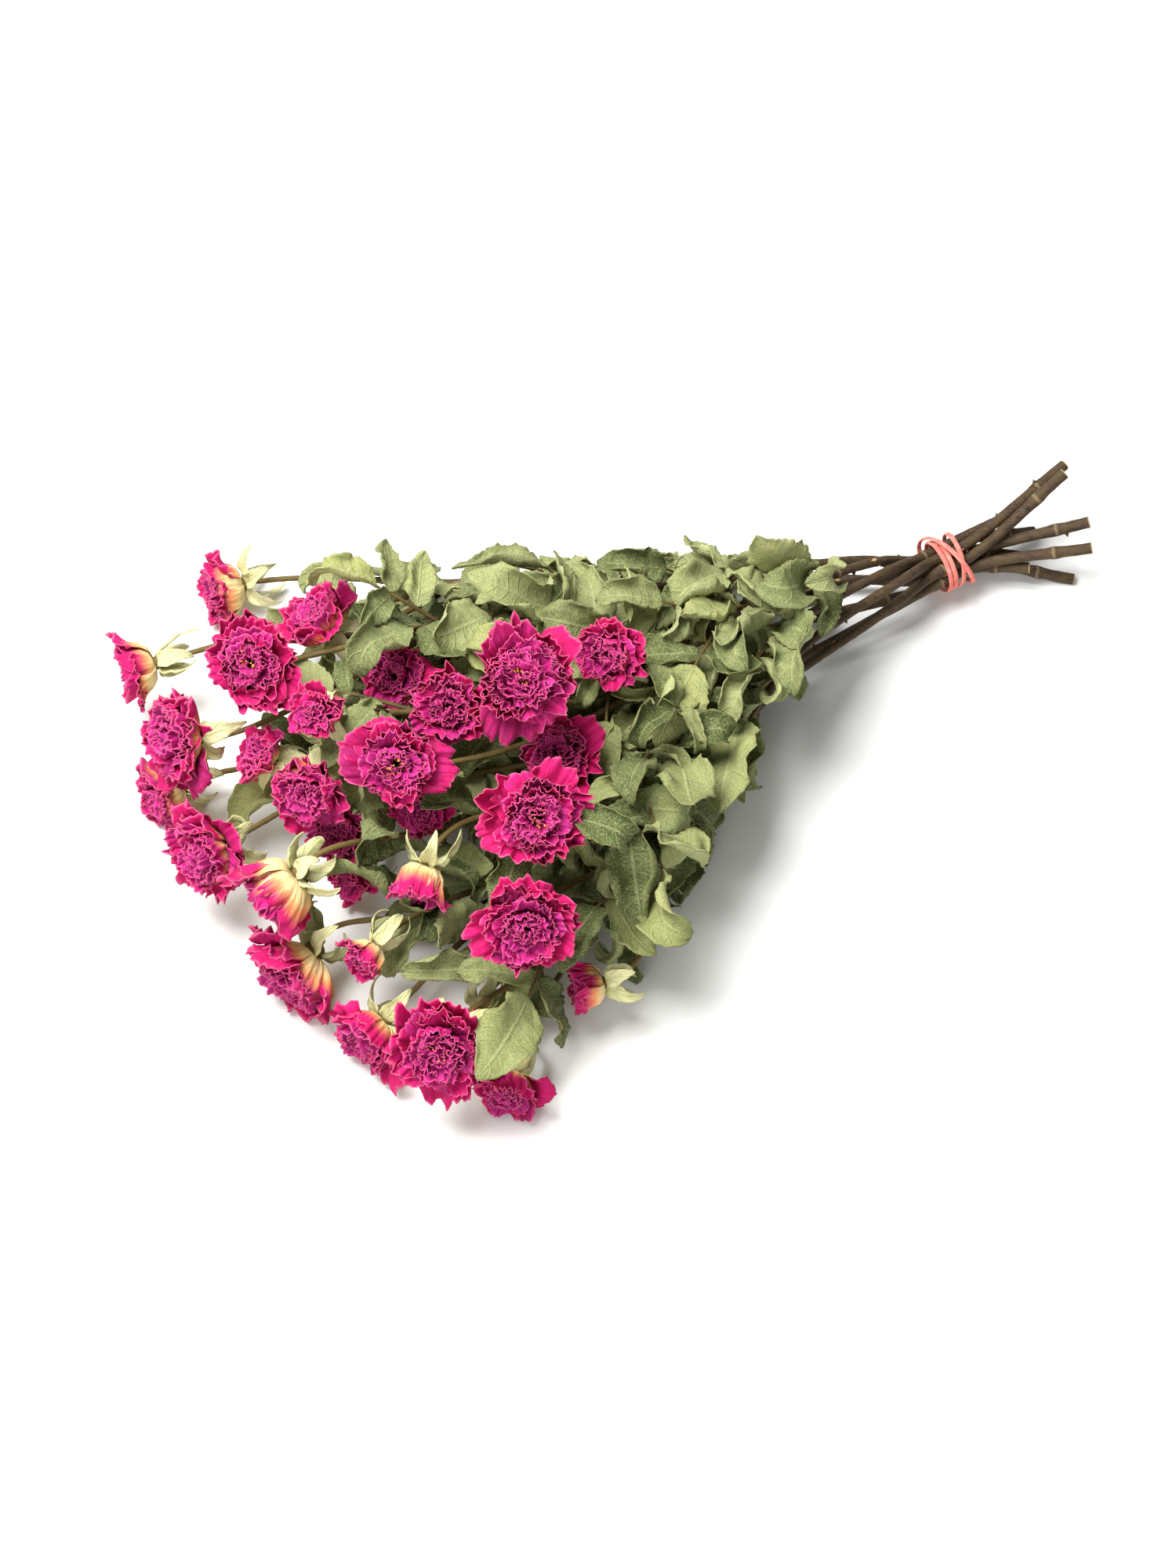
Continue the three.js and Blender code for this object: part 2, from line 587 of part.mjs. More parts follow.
// A whole leaf as one surface: a four-sided stalk with a leaflet out of its side faces and its end.
function leafSolid(stalk, stations, across, leaflets) {
  const surface = { points: [], triangles: [] };
  const half = 0.5 / stalk.getLength();
  const shares = [0, ...stations.flatMap((share) => [share - half, share + half]), 1];
  const path = shares.map((share) => stalk.getPointAt(share));
  const rings = addRings(surface, path, path.map(() => STALK_RADIUS), 4, across);
  const grown = (face, share, side) => {
    const leaflet = leaflets.find((l) => l.share === share && l.side === side);
    if (!leaflet) return addQuad(surface, ...face);
    const { rim, middle } = leafletShape(leaflet);
    return growBlade(surface, face, rim, middle, leaflet.frame.normal, LEAF_THICKNESS);
  };
  for (let i = 0; i + 1 < rings.length; i++) {
    const share = i % 2 === 1 ? stations[(i - 1) / 2] : null;
    const [top, left, bottom, right] = [0, 1, 2, 3].map((k) => faceBetween(rings[i], rings[i + 1], k));
    addQuad(surface, ...top);
    addQuad(surface, ...bottom);
    grown([left[1], left[2], left[3], left[0]], share, -1);
    grown([right[3], right[0], right[1], right[2]], share, 1);
  }
  const end = rings[rings.length - 1];
  grown([end[2], end[3], end[0], end[1]], 1, 0);
  addCap(surface, [...rings[0]].reverse());
  return solidFrom(surface);
}

// ---- keeping clear ----------------------------------------------------------------------------------------
// Degrees that a leaf is swung round its stem, in the order in which they are tried, then roll and pitch of a
// leaflet likewise.
const LEAF_SWINGS = [0, 28, -28, 56, -56, 90, -90, 130];
const LEAFLET_TURNS = [
  [0, 0], [25, 0], [-25, 0], [0, 25], [0, -25], [45, 0], [-45, 0], [28, 28], [-28, 28], [28, -28], [-28, -28],
  [0, 40], [0, -40], [45, 30], [-45, 30], [45, -30], [-45, -30], [60, 0], [-60, 0],
];

function boxesMeet(a, b) {
  return [0, 1, 2].every((k) => a.min[k] < b.max[k] && b.min[k] < a.max[k]);
}

// The foliage keeps behind these planes, which are the sides of the fan and its end at the band.
const FAN_SIDES = [
  { facing: [0, 0.866, 0.5], limit: 13.5 },
  { facing: [0.862, -0.439, -0.253], limit: -27 },
  { facing: [1, 0, 0], limit: -43 },
];

function isInFan(points) {
  return points.every((p) => FAN_SIDES.every((side) => vector(side.facing).dot(p) < side.limit));
}

// Whether a solid stands above the table and touches nothing in the lists.
function isClear(solid, ...lists) {
  const box = solid.boundingBox();
  if (box.min[2] < GAP) return false;
  return lists.every((list) =>
    list.every((other) => !boxesMeet(box, other.boundingBox()) || solid.intersect(other).volume() < SCRAP),
  );
}

// ---- the bunch --------------------------------------------------------------------------------------------
const petalColour = new THREE.MeshStandardMaterial({ color: 0x9c1458, roughness: 0.75, metalness: 0 });
const leafColour = new THREE.MeshStandardMaterial({ color: 0x6a7d4c, roughness: 0.85, metalness: 0 });
const bandColour = new THREE.MeshStandardMaterial({ color: 0xd9675f, roughness: 0.55, metalness: 0 });

const bunch = new THREE.Group();
function addNode(name, solid, material) {
  const mesh = new THREE.Mesh(geometryOf(solid), material);
  mesh.name = name;
  bunch.add(mesh);
}

// Everything below the table top is cut away, which leaves small flat spots where blooms rest on it.
const table = solidOf(new THREE.BoxGeometry(900, 900, 60).translate(-150, -100, -30));

const blooms = {};
Object.entries(BLOOMS).forEach(([name, bloom], i) => {
  blooms[name] = mainBody(bloomSolid(bloom, i + 1).subtract(table));
});
const bloomList = Object.values(blooms);

// Rubber band: one closed loop in four turns. Three lie side by side and the fourth apart, and the last
// stretch crosses back over them on top of the bundle. Its stages are counted in turns from the loop's start.
const BAND_START = 0.3; // turns from the top of the bundle to the loop's start
const BAND_MIDDLE = 2.4; // the stage that lies in the middle of the band seat
const STEP_ASIDE = [2.2, 2.9];
const CROSS_BACK = [3.3, 4];
const CLIMB = [3.3, 3.5];
const DESCEND = [3.95, 4.15];

function bandPath(steps) {
  const rise = THREE.MathUtils.smoothstep;
  return Array.from({ length: steps }, (_, i) => {
    const turns = (BAND_TURNS * i) / steps;
    const around = 2 * Math.PI * (turns + BAND_START);
    const over = turns < 1 ? turns + BAND_TURNS : turns;
    const lift = STRAND_PITCH * (rise(over, ...CLIMB) - rise(over, ...DESCEND));
    const out = TIE_RING + CUT_RADIUS + GAP + STRAND_RADIUS + lift;
    const aside = BAND_APART * rise(turns, ...STEP_ASIDE);
    const back = (BAND_TURNS * STRAND_PITCH + BAND_APART) * rise(turns, ...CROSS_BACK);
    return tieMiddle
      .clone()
      .addScaledVector(bundleAxis, STRAND_PITCH * (turns - BAND_MIDDLE) + aside - back)
      .addScaledVector(UP, out * Math.cos(around))
      .addScaledVector(bundleBack, out * Math.sin(around));
  });
}

// A closed round loop along a path, in rings that face the middle of the bundle alike.
function loop(path, radius, sides) {
  const surface = { points: [], triangles: [] };
  const count = path.length;
  const rings = path.map((centre, i) => {
    const ahead = path[(i + 1) % count].clone().sub(path[(i - 1 + count) % count]).normalize();
    const outward = centre.clone().sub(tieMiddle);
    outward.addScaledVector(ahead, -outward.dot(ahead)).normalize();
    const corner = (_, k) => outward.clone().applyAxisAngle(ahead, (2 * Math.PI * k) / sides);
    const out = Array.from({ length: sides }, corner);
    return addPoints(surface, out.map((o) => centre.clone().addScaledVector(o, radius)));
  });
  rings.forEach((ring, i) => {
    for (let k = 0; k < sides; k++) addQuad(surface, ...faceBetween(ring, rings[(i + 1) % count], k));
  });
  return solidFrom(surface);
}

const band = loop(bandPath(12 * BAND_TURNS), STRAND_RADIUS, 4);

// Wood: each stem from its cut end to its top bloom, then its shoots.
const SHOOT_SEEDS = 50;
const STEM_SEEDS = 100;
const LEAF_SEEDS = 200;
const LEAF_ROW_SEEDS = 300;
const SHOOT_STEPS = 4;
const wood = STEMS.map((stem, i) => {
  const curve = stemCurve(stem);
  const top = BLOOMS[stem.top];
  const main = stemWithHip(stemPath(curve, top), CUT_RADIUS, top, STEM_SEEDS + i);
  const own = { curve, solids: [main], leaves: [] };
  for (const shoot of stem.shoots) {
    const bloom = BLOOMS[shoot.bloom];
    const path = shootPath(shootCurve(curve, shoot), bloom, SHOOT_STEPS);
    const solid = stemWithHip(path, SHOOT_ROOT, bloom, SHOOT_SEEDS + Number(shoot.bloom.slice(-2)));
    own.solids.push(solid);
  }
  return own;
});

function otherWood(own) {
  return wood.filter((w) => w !== own).flatMap((w) => w.solids);
}

// A leaf's leaflets, each in the first attitude in which it is clear. One with no such attitude is left out.
function clearLeaflets(leaflets, bare, others) {
  const chosen = [];
  for (const leaflet of leaflets) {
    for (const [roll, pitch] of LEAFLET_TURNS) {
      const tried = { ...leaflet, frame: turned(leaflet.frame, roll, pitch) };
      if (!isInFan(leafletShape(tried).rim)) continue;
      const siblings = chosen.map((c) => leafletSolid(c, LEAF_THICKNESS));
      if (!isClear(leafletSolid(tried, LEAF_THICKNESS), siblings, [bare])) continue;
      if (!isClear(leafletSolid(tried, LEAF_THICKNESS + 1), ...others)) continue;
      chosen.push(tried);
      break;
    }
  }
  return chosen;
}

// Leaves: each at the swing round its stem at which the most of its leaflets are clear.
let leafSeed = LEAF_SEEDS;
wood.forEach((own, i) => {
  for (const leaf of leavesOf(STEMS[i].leaves, draws(LEAF_ROW_SEEDS + i))) {
    leafSeed += 1;
    const others = [bloomList, otherWood(own), wood.flatMap((w) => w.leaves), [band]];
    let best = { chosen: [] };
    for (const swing of LEAF_SWINGS) {
      const stalk = stalkCurve(own.curve, leaf, swing);
      const { stations, across, leaflets } = leafletsOf(stalk, leaf, draws(leafSeed));
      const bare = leafSolid(stalk, stations, across, []);
      if (!isClear(bare, ...others)) continue;
      const chosen = clearLeaflets(leaflets, bare, others);
      if (chosen.length > best.chosen.length) best = { stalk, stations, across, chosen };
      if (chosen.length === leaflets.length) break;
    }
    if (best.chosen.length) own.leaves.push(leafSolid(best.stalk, best.stations, best.across, best.chosen));
  }
});
wood.forEach((own, i) => {
  const whole = wasm.Manifold.union([...own.solids, ...own.leaves]).subtract(table);
  addNode(`leafy_stem_${i + 1}`, mainBody(whole), leafColour);
});
for (const [name, solid] of Object.entries(blooms)) addNode(name, solid, petalColour);
addNode("rubber_band", band, bandColour);

// The origin is the middle of the bunch's footprint, on the table.
const bounds = new THREE.Box3().setFromObject(bunch);
const middle = bounds.getCenter(new THREE.Vector3());
bunch.position.set(-middle.x, -middle.y, -bounds.min.z);
bunch.updateMatrixWorld(true);
export default bunch;
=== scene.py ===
"""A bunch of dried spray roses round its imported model: petals, leaves, wood and band, in metres."""

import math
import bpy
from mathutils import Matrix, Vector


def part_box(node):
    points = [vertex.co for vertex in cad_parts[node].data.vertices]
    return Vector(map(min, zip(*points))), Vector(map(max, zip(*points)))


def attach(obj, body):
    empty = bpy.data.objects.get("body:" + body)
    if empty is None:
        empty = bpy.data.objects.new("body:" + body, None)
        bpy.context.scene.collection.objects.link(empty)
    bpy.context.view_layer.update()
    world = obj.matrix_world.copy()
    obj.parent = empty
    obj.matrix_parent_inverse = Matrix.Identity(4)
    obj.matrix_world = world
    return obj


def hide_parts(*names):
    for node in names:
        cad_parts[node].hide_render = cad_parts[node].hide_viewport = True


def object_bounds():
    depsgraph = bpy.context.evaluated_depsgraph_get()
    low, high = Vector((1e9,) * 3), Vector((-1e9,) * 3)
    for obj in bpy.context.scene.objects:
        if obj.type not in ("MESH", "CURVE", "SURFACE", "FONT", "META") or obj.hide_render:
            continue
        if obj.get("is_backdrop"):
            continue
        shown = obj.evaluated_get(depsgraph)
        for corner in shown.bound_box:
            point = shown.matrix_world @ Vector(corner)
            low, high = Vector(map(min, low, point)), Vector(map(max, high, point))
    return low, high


bl_info = {
    "name": "Dried rose bunch",
    "version": (1, 0, 0),
    "blender": (4, 5, 0),
    "location": "3D View > Sidebar > Roses",
    "description": "Builds a tied bunch of dried spray roses, piece by piece",
    "category": "Add Mesh",
}

import bpy
import numpy as np
from mathutils import Vector, bvhtree, kdtree

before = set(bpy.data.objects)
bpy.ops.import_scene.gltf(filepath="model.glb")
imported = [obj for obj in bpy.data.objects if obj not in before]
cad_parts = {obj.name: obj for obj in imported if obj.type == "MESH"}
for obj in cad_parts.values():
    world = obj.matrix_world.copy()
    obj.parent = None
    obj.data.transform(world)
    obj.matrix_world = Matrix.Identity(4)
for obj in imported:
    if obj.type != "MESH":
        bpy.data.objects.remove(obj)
CAD_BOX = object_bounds()
MM = 0.001
FULL_TURN = 2 * math.pi
UP = np.array([0.0, 0.0, 1.0])

# ---- layout of the bunch, in millimetres and degrees, from the table under the band ----
TIE_HEIGHT = 16
TIE_HEADING = 30
TIE_RING = 6.75
TIE_WIDTH = 17
CUT_RADIUS = 2.5
SHOOT_RADIUS = 1.15
SHOOT_ROOT = 1.55
HIP_WIDTH = 0.2  # of the bloom's radius
HIP_LEAST = 2.1
HIP_LENGTH = 7
STALK_RADIUS = 0.8
STALK_LENGTHS = {1: 22, 2: 38}  # by pairs of leaflets
STALK_DROOP = 0.12
LEAF_THICKNESS = 0.8
LEAFLET_LENGTH = 34
LEAFLET_WIDTH = 0.6  # of its length
SEPALS = 5
SEPAL_LENGTH = 17
SEPAL_BEND = 38
STRAND_RADIUS = 1
STRAND_PITCH = 2.3
BAND_TURNS = 4
BAND_APART = 4
GAP = 0.4

# Each bloom: middle, the way that it faces, radius, and how far open it is.
BLOOMS = dict(enumerate((
    ((-298, -12, 14), (-1, -0.34, 0.09), 16, 0.6),
    ((-256, -53, 60), (-0.5, 0.18, 0.68), 17, 0.7),
    ((-280, -87, 80), (-0.1, -0.46, 0.89), 20, 1),
    ((-331, -60, 30), (-1, -0.31, -0.06), 15, 0.5),
    ((-310, -110, 60), (-0.8, -0.3, 0.52), 20, 0.95),
    ((-318, -111, 14), (-0.8, -0.53, 0.08), 16, 0.7),
    ((-298, -151, 40), (-0.7, -0.65, 0.32), 19.5, 0.9),
    ((-253, -121, 100), (-0.3, -0.47, 0.82), 12, 0.8),
    ((-277, -111, 52), (-0.6, -0.04, 0.67), 13, 0.8),
    ((-256, -144, 77), (-0.3, -0.75, 0.49), 17, 0.9),
    ((-224, -82, 62), (-0.2, -0.39, 0.87), 16, 0.9),
    ((-202, -108, 82), (-0.2, -0.47, 0.82), 18, 0.9),
    ((-221, -145, 101), (0, -0.59, 0.82), 19, 1),
    ((-173, -113, 112), (0.05, -0.5, 0.87), 22.5, 1),
    ((-139, -86, 85), (-0.3, -0.49, 0.75), 16, 0.85),
    ((-159, -122, 70), (-0.2, -0.39, 0.87), 17, 0.9),
    ((-167, -165, 95), (0, -0.59, 0.82), 21, 1),
    ((-171, -200, 72), (0, -0.75, 0.6), 20, 0.95),
    ((-213, -183, 70), (-0.3, -0.83, -0.36), 14, 0.4),
    ((-269, -177, 56), (-0.7, -0.4, -0.52), 19, 0.55),
    ((-263, -195, 21), (-0.6, -0.75, -0.15), 23, 0.8),
    ((-234, -221, 18), (-0.6, -0.72, 0.05), 17, 0.75),
    ((-204, -238, 41), (-0.1, -0.75, 0.6), 21, 1),
    ((-179, -242, 13), (-0.2, -0.9, 0.17), 15, 0.7),
    ((-190, -218, 24), (-0.1, -0.9, 0.17), 8.5, 0.4),
    ((-150, -202, 25), (-0.95, -0.27, 0.07), 12.6, 0.4),
    ((-246, -145, 45), (-0.4, -0.57, 0.6), 14, 0.8),
    ((-242, -149, 16), (-0.5, -0.68, 0.18), 12, 0.6),
    ((-213, -144, 63), (-0.1, -0.83, 0.44), 13, 0.8),
    ((-235, -199, 42), (-0.5, -0.72, 0.05), 11, 0.5),
), 1))

# Each stem: seat in the band (degrees, None in the middle), cut end, way points, top bloom, shoots as
# (share of the stem's length, bloom, sideways push) and leaves as (first share, last share, count).
STEMS = (
    (180, (53, 1, 1.4), ((-33, -3, 7.5), (-90, -5, 14), (-160, -10, 24), (-240, -30, 30)), 4,
     ((0.62, 1, None), (0.66, 2, None)), (0.3, 0.76, 6)),
    (135, (31, 6, 11), ((-32, -4, 24), (-76, -18, 38), (-150, -40, 52), (-220, -62, 62)), 3,
     ((0.57, 11, None), (0.68, 5, None)), (0.28, 0.74, 6)),
    (225, (34, -1, 13.5), ((-25, -16, 12.5), (-68, -32, 18), (-150, -65, 22), (-235, -92, 22)), 6,
     ((0.62, 9, None), (0.66, 7, None)), (0.32, 0.82, 4)),
    (None, (58, 12, 28), ((-27, -14, 27), (-67, -34, 41), (-140, -70, 55), (-198, -95, 60)), 8,
     ((0.57, 12, None), (0.66, 10, None)), (0.34, 0.72, 4)),
    (270, (59, 2, 24), ((-22, -21, 15), (-64, -46, 13), (-130, -85, 16), (-195, -130, 30)), 20,
     ((0.66, 28, None), (0.63, 27, None)), (0.42, 0.84, 4)),
    (90, (37, 20, 8), ((-29, -9.5, 32), (-67, -34, 48), (-118, -68, 56), (-152, -96, 65)), 14,
     ((0.51, 15, None), (0.57, 13, (0, -35, 5))), (0.36, 0.66, 4)),
    (45, (33, 26, 16), ((-26, -16, 34.5), (-60, -46, 48), (-105, -92, 53), (-146, -142, 64)), 17,
     ((0.57, 16, None), (0.66, 29, None)), (0.42, 0.8, 4)),
    (315, (48, 30, 37), ((-28, -31, 26), (-75, -66, 22), (-130, -115, 22), (-190, -165, 24)), 21,
     ((0.57, 19, None), (0.68, 30, None), (0.73, 22, None)), (0.4, 0.84, 5)),
    (0, (49, 40, 28),
     ((-18, -19, 35), (-60, -52, 35), (-80, -80, 32), (-125, -150, 36), (-165, -195, 34)), 23,
     ((0.46, 24, None), (0.57, 26, None), (0.63, 18, None), (0.73, 25, None)), (0.42, 0.84, 5)),
)
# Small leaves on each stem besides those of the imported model, and how much further along it they reach.
SMALL_LEAVES = (
    (12, 0.05), (12, 0.05), (11, 0.12), (12, 0.2), (13, 0.22), (12, 0.2), (13, 0.22), (12, 0.16), (12, 0.16),
)
# They keep behind these planes, by normal and distance: the fan's two sides, its end at the band, its top,
# and the two halves of its front.
LEAF_BOUNDS = (
    ((0, 0.866, 0.5), 13.5), ((0.862, -0.439, -0.253), -27), ((1, 0, 0), -43), ((0, 0, 1), 98),
    ((-0.987, -0.138, -0.079), 284), ((-0.552, -0.721, -0.417), 268),
)
LEAF_FLOOR = 2
VIEW_RISE = math.radians(60)  # above the table, from where the bunch is looked at
SIGHT = np.array([0, -math.cos(VIEW_RISE), math.sin(VIEW_RISE)])
HEART_SHARE, HEART_MARGIN = 0.75, 3  # how much of a bloom no small leaf hides
LEAF_SWINGS = (0, 28, -28, 56, -56, 90, -90, 130)
LEAFLET_TURNS = (
    (0, 0), (25, 0), (-25, 0), (0, 25), (0, -25), (45, 0), (-45, 0), (28, 28), (-28, 28), (28, -28),
    (-28, -28), (0, 40), (0, -40), (45, 30), (-45, 30), (45, -30), (-45, -30), (60, 0), (-60, 0),
)
LEAFLET_CORNERS = ((0.06, 0), (0.3, -1), (0.7, -0.8), (1, 0), (0.7, 0.8), (0.3, 1))  # along, across
ENOUGH_LEAFLETS = 3
MATCH = 0.05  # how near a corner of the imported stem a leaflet's tip is when its attitude is found
LEAF_SEEDS, ROW_SEEDS, CURL_SEEDS, SMALL_ROW_SEEDS, SMALL_LEAF_SEEDS = 201, 300, 400, 600, 610
SMALL_SEEDS_A_STEM = 20
TOP_SEPAL_SEEDS, SHOOT_SEPAL_SEEDS = 100, 50


# ---- curves and directions ----
def draws(seed):
    """A stream of numbers from 0 to 1 that is the same each time for the same seed."""
    factor, modulus = 16807, 2147483647
    state = 1000 + seed * 7919

    def step():
        nonlocal state
        state = (state * factor) % modulus
        return state / modulus

    step()
    step()
    return step


def vec(values):
    return np.array(values, float)


def unit(v):
    v = vec(v)
    return v / np.linalg.norm(v)


def rotated(v, axis, degrees):
    """A vector turned about a unit axis by the right-hand rule."""
    angle = math.radians(degrees)
    turn = v * math.cos(angle) + np.cross(axis, v) * math.sin(angle)
    return turn + axis * np.dot(axis, v) * (1 - math.cos(angle))


def square_to(v, axis):
    """The direction nearest to a vector that is square to a unit axis."""
    return unit(v - axis * np.dot(v, axis))


def frame_along(direction):
    """Along, across (level where it can be) and normal (upwards where it can be)."""
    steep = 0.97
    along = unit(direction)
    side = vec((0, 1, 0)) if abs(along[2]) > steep else UP
    across = unit(np.cross(side, along))
    return along, across, np.cross(along, across)


def turned(axes, roll, pitch):
    """Axes rolled about their along, then pitched about their across."""
    along, across, _ = axes
    across = rotated(across, along, roll)
    along = rotated(along, across, pitch)
    return along, across, np.cross(along, across)


class Way:
    """A curve through space that can be read by share of its length."""

    DIVISIONS = 200
    NUDGE = 1e-4

    def __init__(self, point):
        self.point = point
        stations = [point(i / self.DIVISIONS) for i in range(self.DIVISIONS + 1)]
        steps = [np.linalg.norm(b - a) for a, b in zip(stations, stations[1:])]
        self.marks = np.concatenate([[0], np.cumsum(steps)])
        self.length = self.marks[-1]

    def parameter(self, share):
        return np.interp(share * self.length, self.marks, np.linspace(0, 1, self.DIVISIONS + 1))

    def at(self, share):
        return self.point(self.parameter(share))

    def heading(self, share):
        t = self.parameter(share)
        return unit(self.point(min(t + self.NUDGE, 1)) - self.point(max(t - self.NUDGE, 0)))


def smooth_way(points):
    """The centripetal curve through points."""
    count = len(points)

    def point(t):
        place = (count - 1) * t
        i = min(int(place), count - 2)
        weight = place - i
        p1, p2 = points[i], points[i + 1]
        p0 = points[i - 1] if i > 0 else 2 * p1 - p2
        p3 = points[i + 2] if i + 2 < count else 2 * p2 - p1
        d0, d1, d2 = (max(np.linalg.norm(b - a), 1e-8) ** 0.5 for a, b in ((p0, p1), (p1, p2), (p2, p3)))
        t1 = ((p1 - p0) / d0 - (p2 - p0) / (d0 + d1) + (p2 - p1) / d1) * d1
        t2 = ((p2 - p1) / d1 - (p3 - p1) / (d1 + d2) + (p3 - p2) / d2) * d1
        c2 = -3 * p1 + 3 * p2 - 2 * t1 - t2
        c3 = 2 * p1 - 2 * p2 + t1 + t2
        return p1 + t1 * weight + c2 * weight**2 + c3 * weight**3

    return Way(point)


def bezier_way(*points):
    """The Bezier curve of three or four points."""
    degree = len(points) - 1

    def point(t):
        return sum(math.comb(degree, k) * (1 - t) ** (degree - k) * t**k * p for k, p in enumerate(points))

    return Way(point)


# ---- the stems' ways and the leaves' places ----
HEADING = math.radians(TIE_HEADING)
BUNDLE_AXIS = vec((math.cos(HEADING), math.sin(HEADING), 0))
BUNDLE_BACK = vec((-math.sin(HEADING), math.cos(HEADING), 0))
TIE_MIDDLE = UP * TIE_HEIGHT


def tie_seat(seat):
    """Where a stem passes through the middle of the band."""
    if seat is None:
        return TIE_MIDDLE
    angle = math.radians(seat)
    return TIE_MIDDLE + TIE_RING * (UP * math.cos(angle) + BUNDLE_BACK * math.sin(angle))


def facing_of(number):
    return unit(BLOOMS[number][1])


def bloom_base(number):
    """The foot of a bloom, which is further below its middle the more it is closed."""
    at, _, radius, openness = BLOOMS[number]
    return vec(at) - facing_of(number) * (0.8 - 0.4 * openness) * radius


def shoot_end(number):
    """Where a stem or shoot ends, just short of its bloom."""
    return bloom_base(number) - facing_of(number) * GAP


def stem_way(stem):
    """A stem from its cut end, straight through the band and out to its top bloom."""
    seat, cut, way, top = stem[:4]
    middle, end, half = tie_seat(seat), shoot_end(top), BUNDLE_AXIS * TIE_WIDTH / 2
    before = end - facing_of(top) * 2 * HIP_LENGTH
    return smooth_way([vec(cut), middle + half, middle - half, *map(vec, way), before, end])


def shoot_way(stem, share, number, bow):
    """A shoot that leaves its stem forwards and comes to its bloom from behind."""
    ahead, behind, bowed = 0.32, 0.3, 0.4
    bow = vec(bow or (0, 0, 0))
    start, end = stem.at(share), shoot_end(number)
    reach = np.linalg.norm(end - start)
    leave = start + stem.heading(share) * ahead * reach + bow
    arrive = end - facing_of(number) * max(behind * reach, 2 * HIP_LENGTH) + bowed * bow
    return bezier_way(start, leave, arrive, end)


def leaf_row(first, last, count, step):
    """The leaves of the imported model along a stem, on one side and the other in turn."""
    return [
        {
            "share": first + (last - first) * k / (count - 1),
            "round": (1 if k % 2 else -1) * (15 + 45 * step()),
            "size": 0.95 + 0.25 * step(),
            "pairs": 2 if k % 4 == 2 else 1,
        }
        for k in range(count)
    ]


def small_leaf_row(first, last, count, step):
    """The small leaves along a stem, spread further round it."""
    return [
        {
            "share": first + (last - first) * (k + 0.2 + 0.6 * step()) / count,
            "round": (1 if k % 2 else -1) * (10 + 110 * step()),
            "size": 0.75 + 0.3 * step(),
            "pairs": 2 if k % 3 == 1 else 1,
        }
        for k in range(count)
    ]


def stalk_way(stem, leaf, swing):
    """A leaf's stalk, forwards and out from its stem and drooping at its end."""
    start = stem.at(leaf["share"])
    along, _, normal = frame_along(stem.heading(leaf["share"]))
    side = rotated(normal, along, -leaf["round"] - swing)
    out = unit(along * 0.72 + side * 0.7)
    length = leaf["size"] * STALK_LENGTHS[leaf["pairs"]]
    return bezier_way(start, start + out * 0.5 * length, start + out * length - UP * STALK_DROOP * length)


def leaflets_of(stalk, leaf, step):
    """A leaf's leaflets as the seeded draws give them, before each is turned clear of its neighbours."""
    stations = (0.42, 0.8) if leaf["pairs"] > 1 else (0.55,)
    across = turned(frame_along(stalk.heading(0)), 80 * (step() - 0.5), 0)[1]

    def leaflet(share, side, spread, size):
        along = stalk.heading(share)
        right = square_to(across, along)
        normal = np.cross(along, right)
        out = rotated(along, normal, side * spread)
        roll, pitch = 40 * (step() - 0.5), 36 * (step() - 0.4)
        return {
            "start": stalk.at(share) + right * side * 0.7 * STALK_RADIUS,
            "axes": turned((out, np.cross(normal, out), normal), roll, pitch),
            "length": leaf["size"] * LEAFLET_LENGTH * size * (0.85 + 0.25 * step()),
            "arch": 0.05 + 0.25 * step(),
            "fold": 2 + 4 * step(),
        }

    made = [leaflet(share, side, 64 + 14 * step(), 0.84) for share in stations for side in (1, -1)]
    return [*made, leaflet(1, 0, 0, 1.08)]


def first_turned(leaflet, good):
    """The leaflet in the first attitude that is good, or None."""
    for roll, pitch in LEAFLET_TURNS:
        tried = {**leaflet, "axes": turned(leaflet["axes"], roll, pitch)}
        if good(tried):
            return tried
    return None


def outline_of(leaflet):
    """The corners of a leaflet's flat outline."""
    along, across, normal = leaflet["axes"]
    length, corners = leaflet["length"], []
    for share, side in LEAFLET_CORNERS:
        height = leaflet["fold"] * abs(side) - leaflet["arch"] * length * share**2
        across_it = across * side * (length * LEAFLET_WIDTH / 2)
        corners.append(leaflet["start"] + along * share * length + across_it + normal * height)
    return corners


def outline_tree(outlines):
    """Outlines of leaflets, each as a fan of triangles, to test whether another is clear of them."""
    count = len(LEAFLET_CORNERS)
    points = [tuple(p) for corners in outlines for p in corners]
    faces = [(k, k + i, k + i + 1) for k in range(0, len(points), count) for i in range(1, count - 1)]
    return bvhtree.BVHTree.FromPolygons(points, faces)


def packed_tree():
    """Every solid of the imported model, in millimetres of the layout."""
    points, faces = [], []
    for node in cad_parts.values():
        first = len(points)
        points += [tuple(vec(v.co) / MM - SHIFT) for v in node.data.vertices]
        faces += [[first + i for i in face.vertices] for face in node.data.polygons]
    return bvhtree.BVHTree.FromPolygons(points, faces)


def hides_bloom(corners):
    """Whether a leaflet lies between the eye and the heart of a bloom."""
    for at, _, radius, _ in BLOOMS.values():
        for corner in corners[1:]:
            gap = corner - vec(at)
            nearer = np.dot(gap, SIGHT)
            if nearer > 0 and np.linalg.norm(gap - SIGHT * nearer) < HEART_SHARE * radius + HEART_MARGIN:
                return True
    return False


def is_clear(leaflet, trees):
    """Whether a leaflet is inside the fan, hides no bloom and touches nothing."""
    corners = outline_of(leaflet)
    inside = all(np.dot(side, p) < limit for side, limit in LEAF_BOUNDS for p in corners)
    if not inside or min(p[2] for p in corners) <= LEAF_FLOOR or hides_bloom(corners):
        return False
    own = outline_tree([corners])
    return not any(own.overlap(tree) for tree in trees)


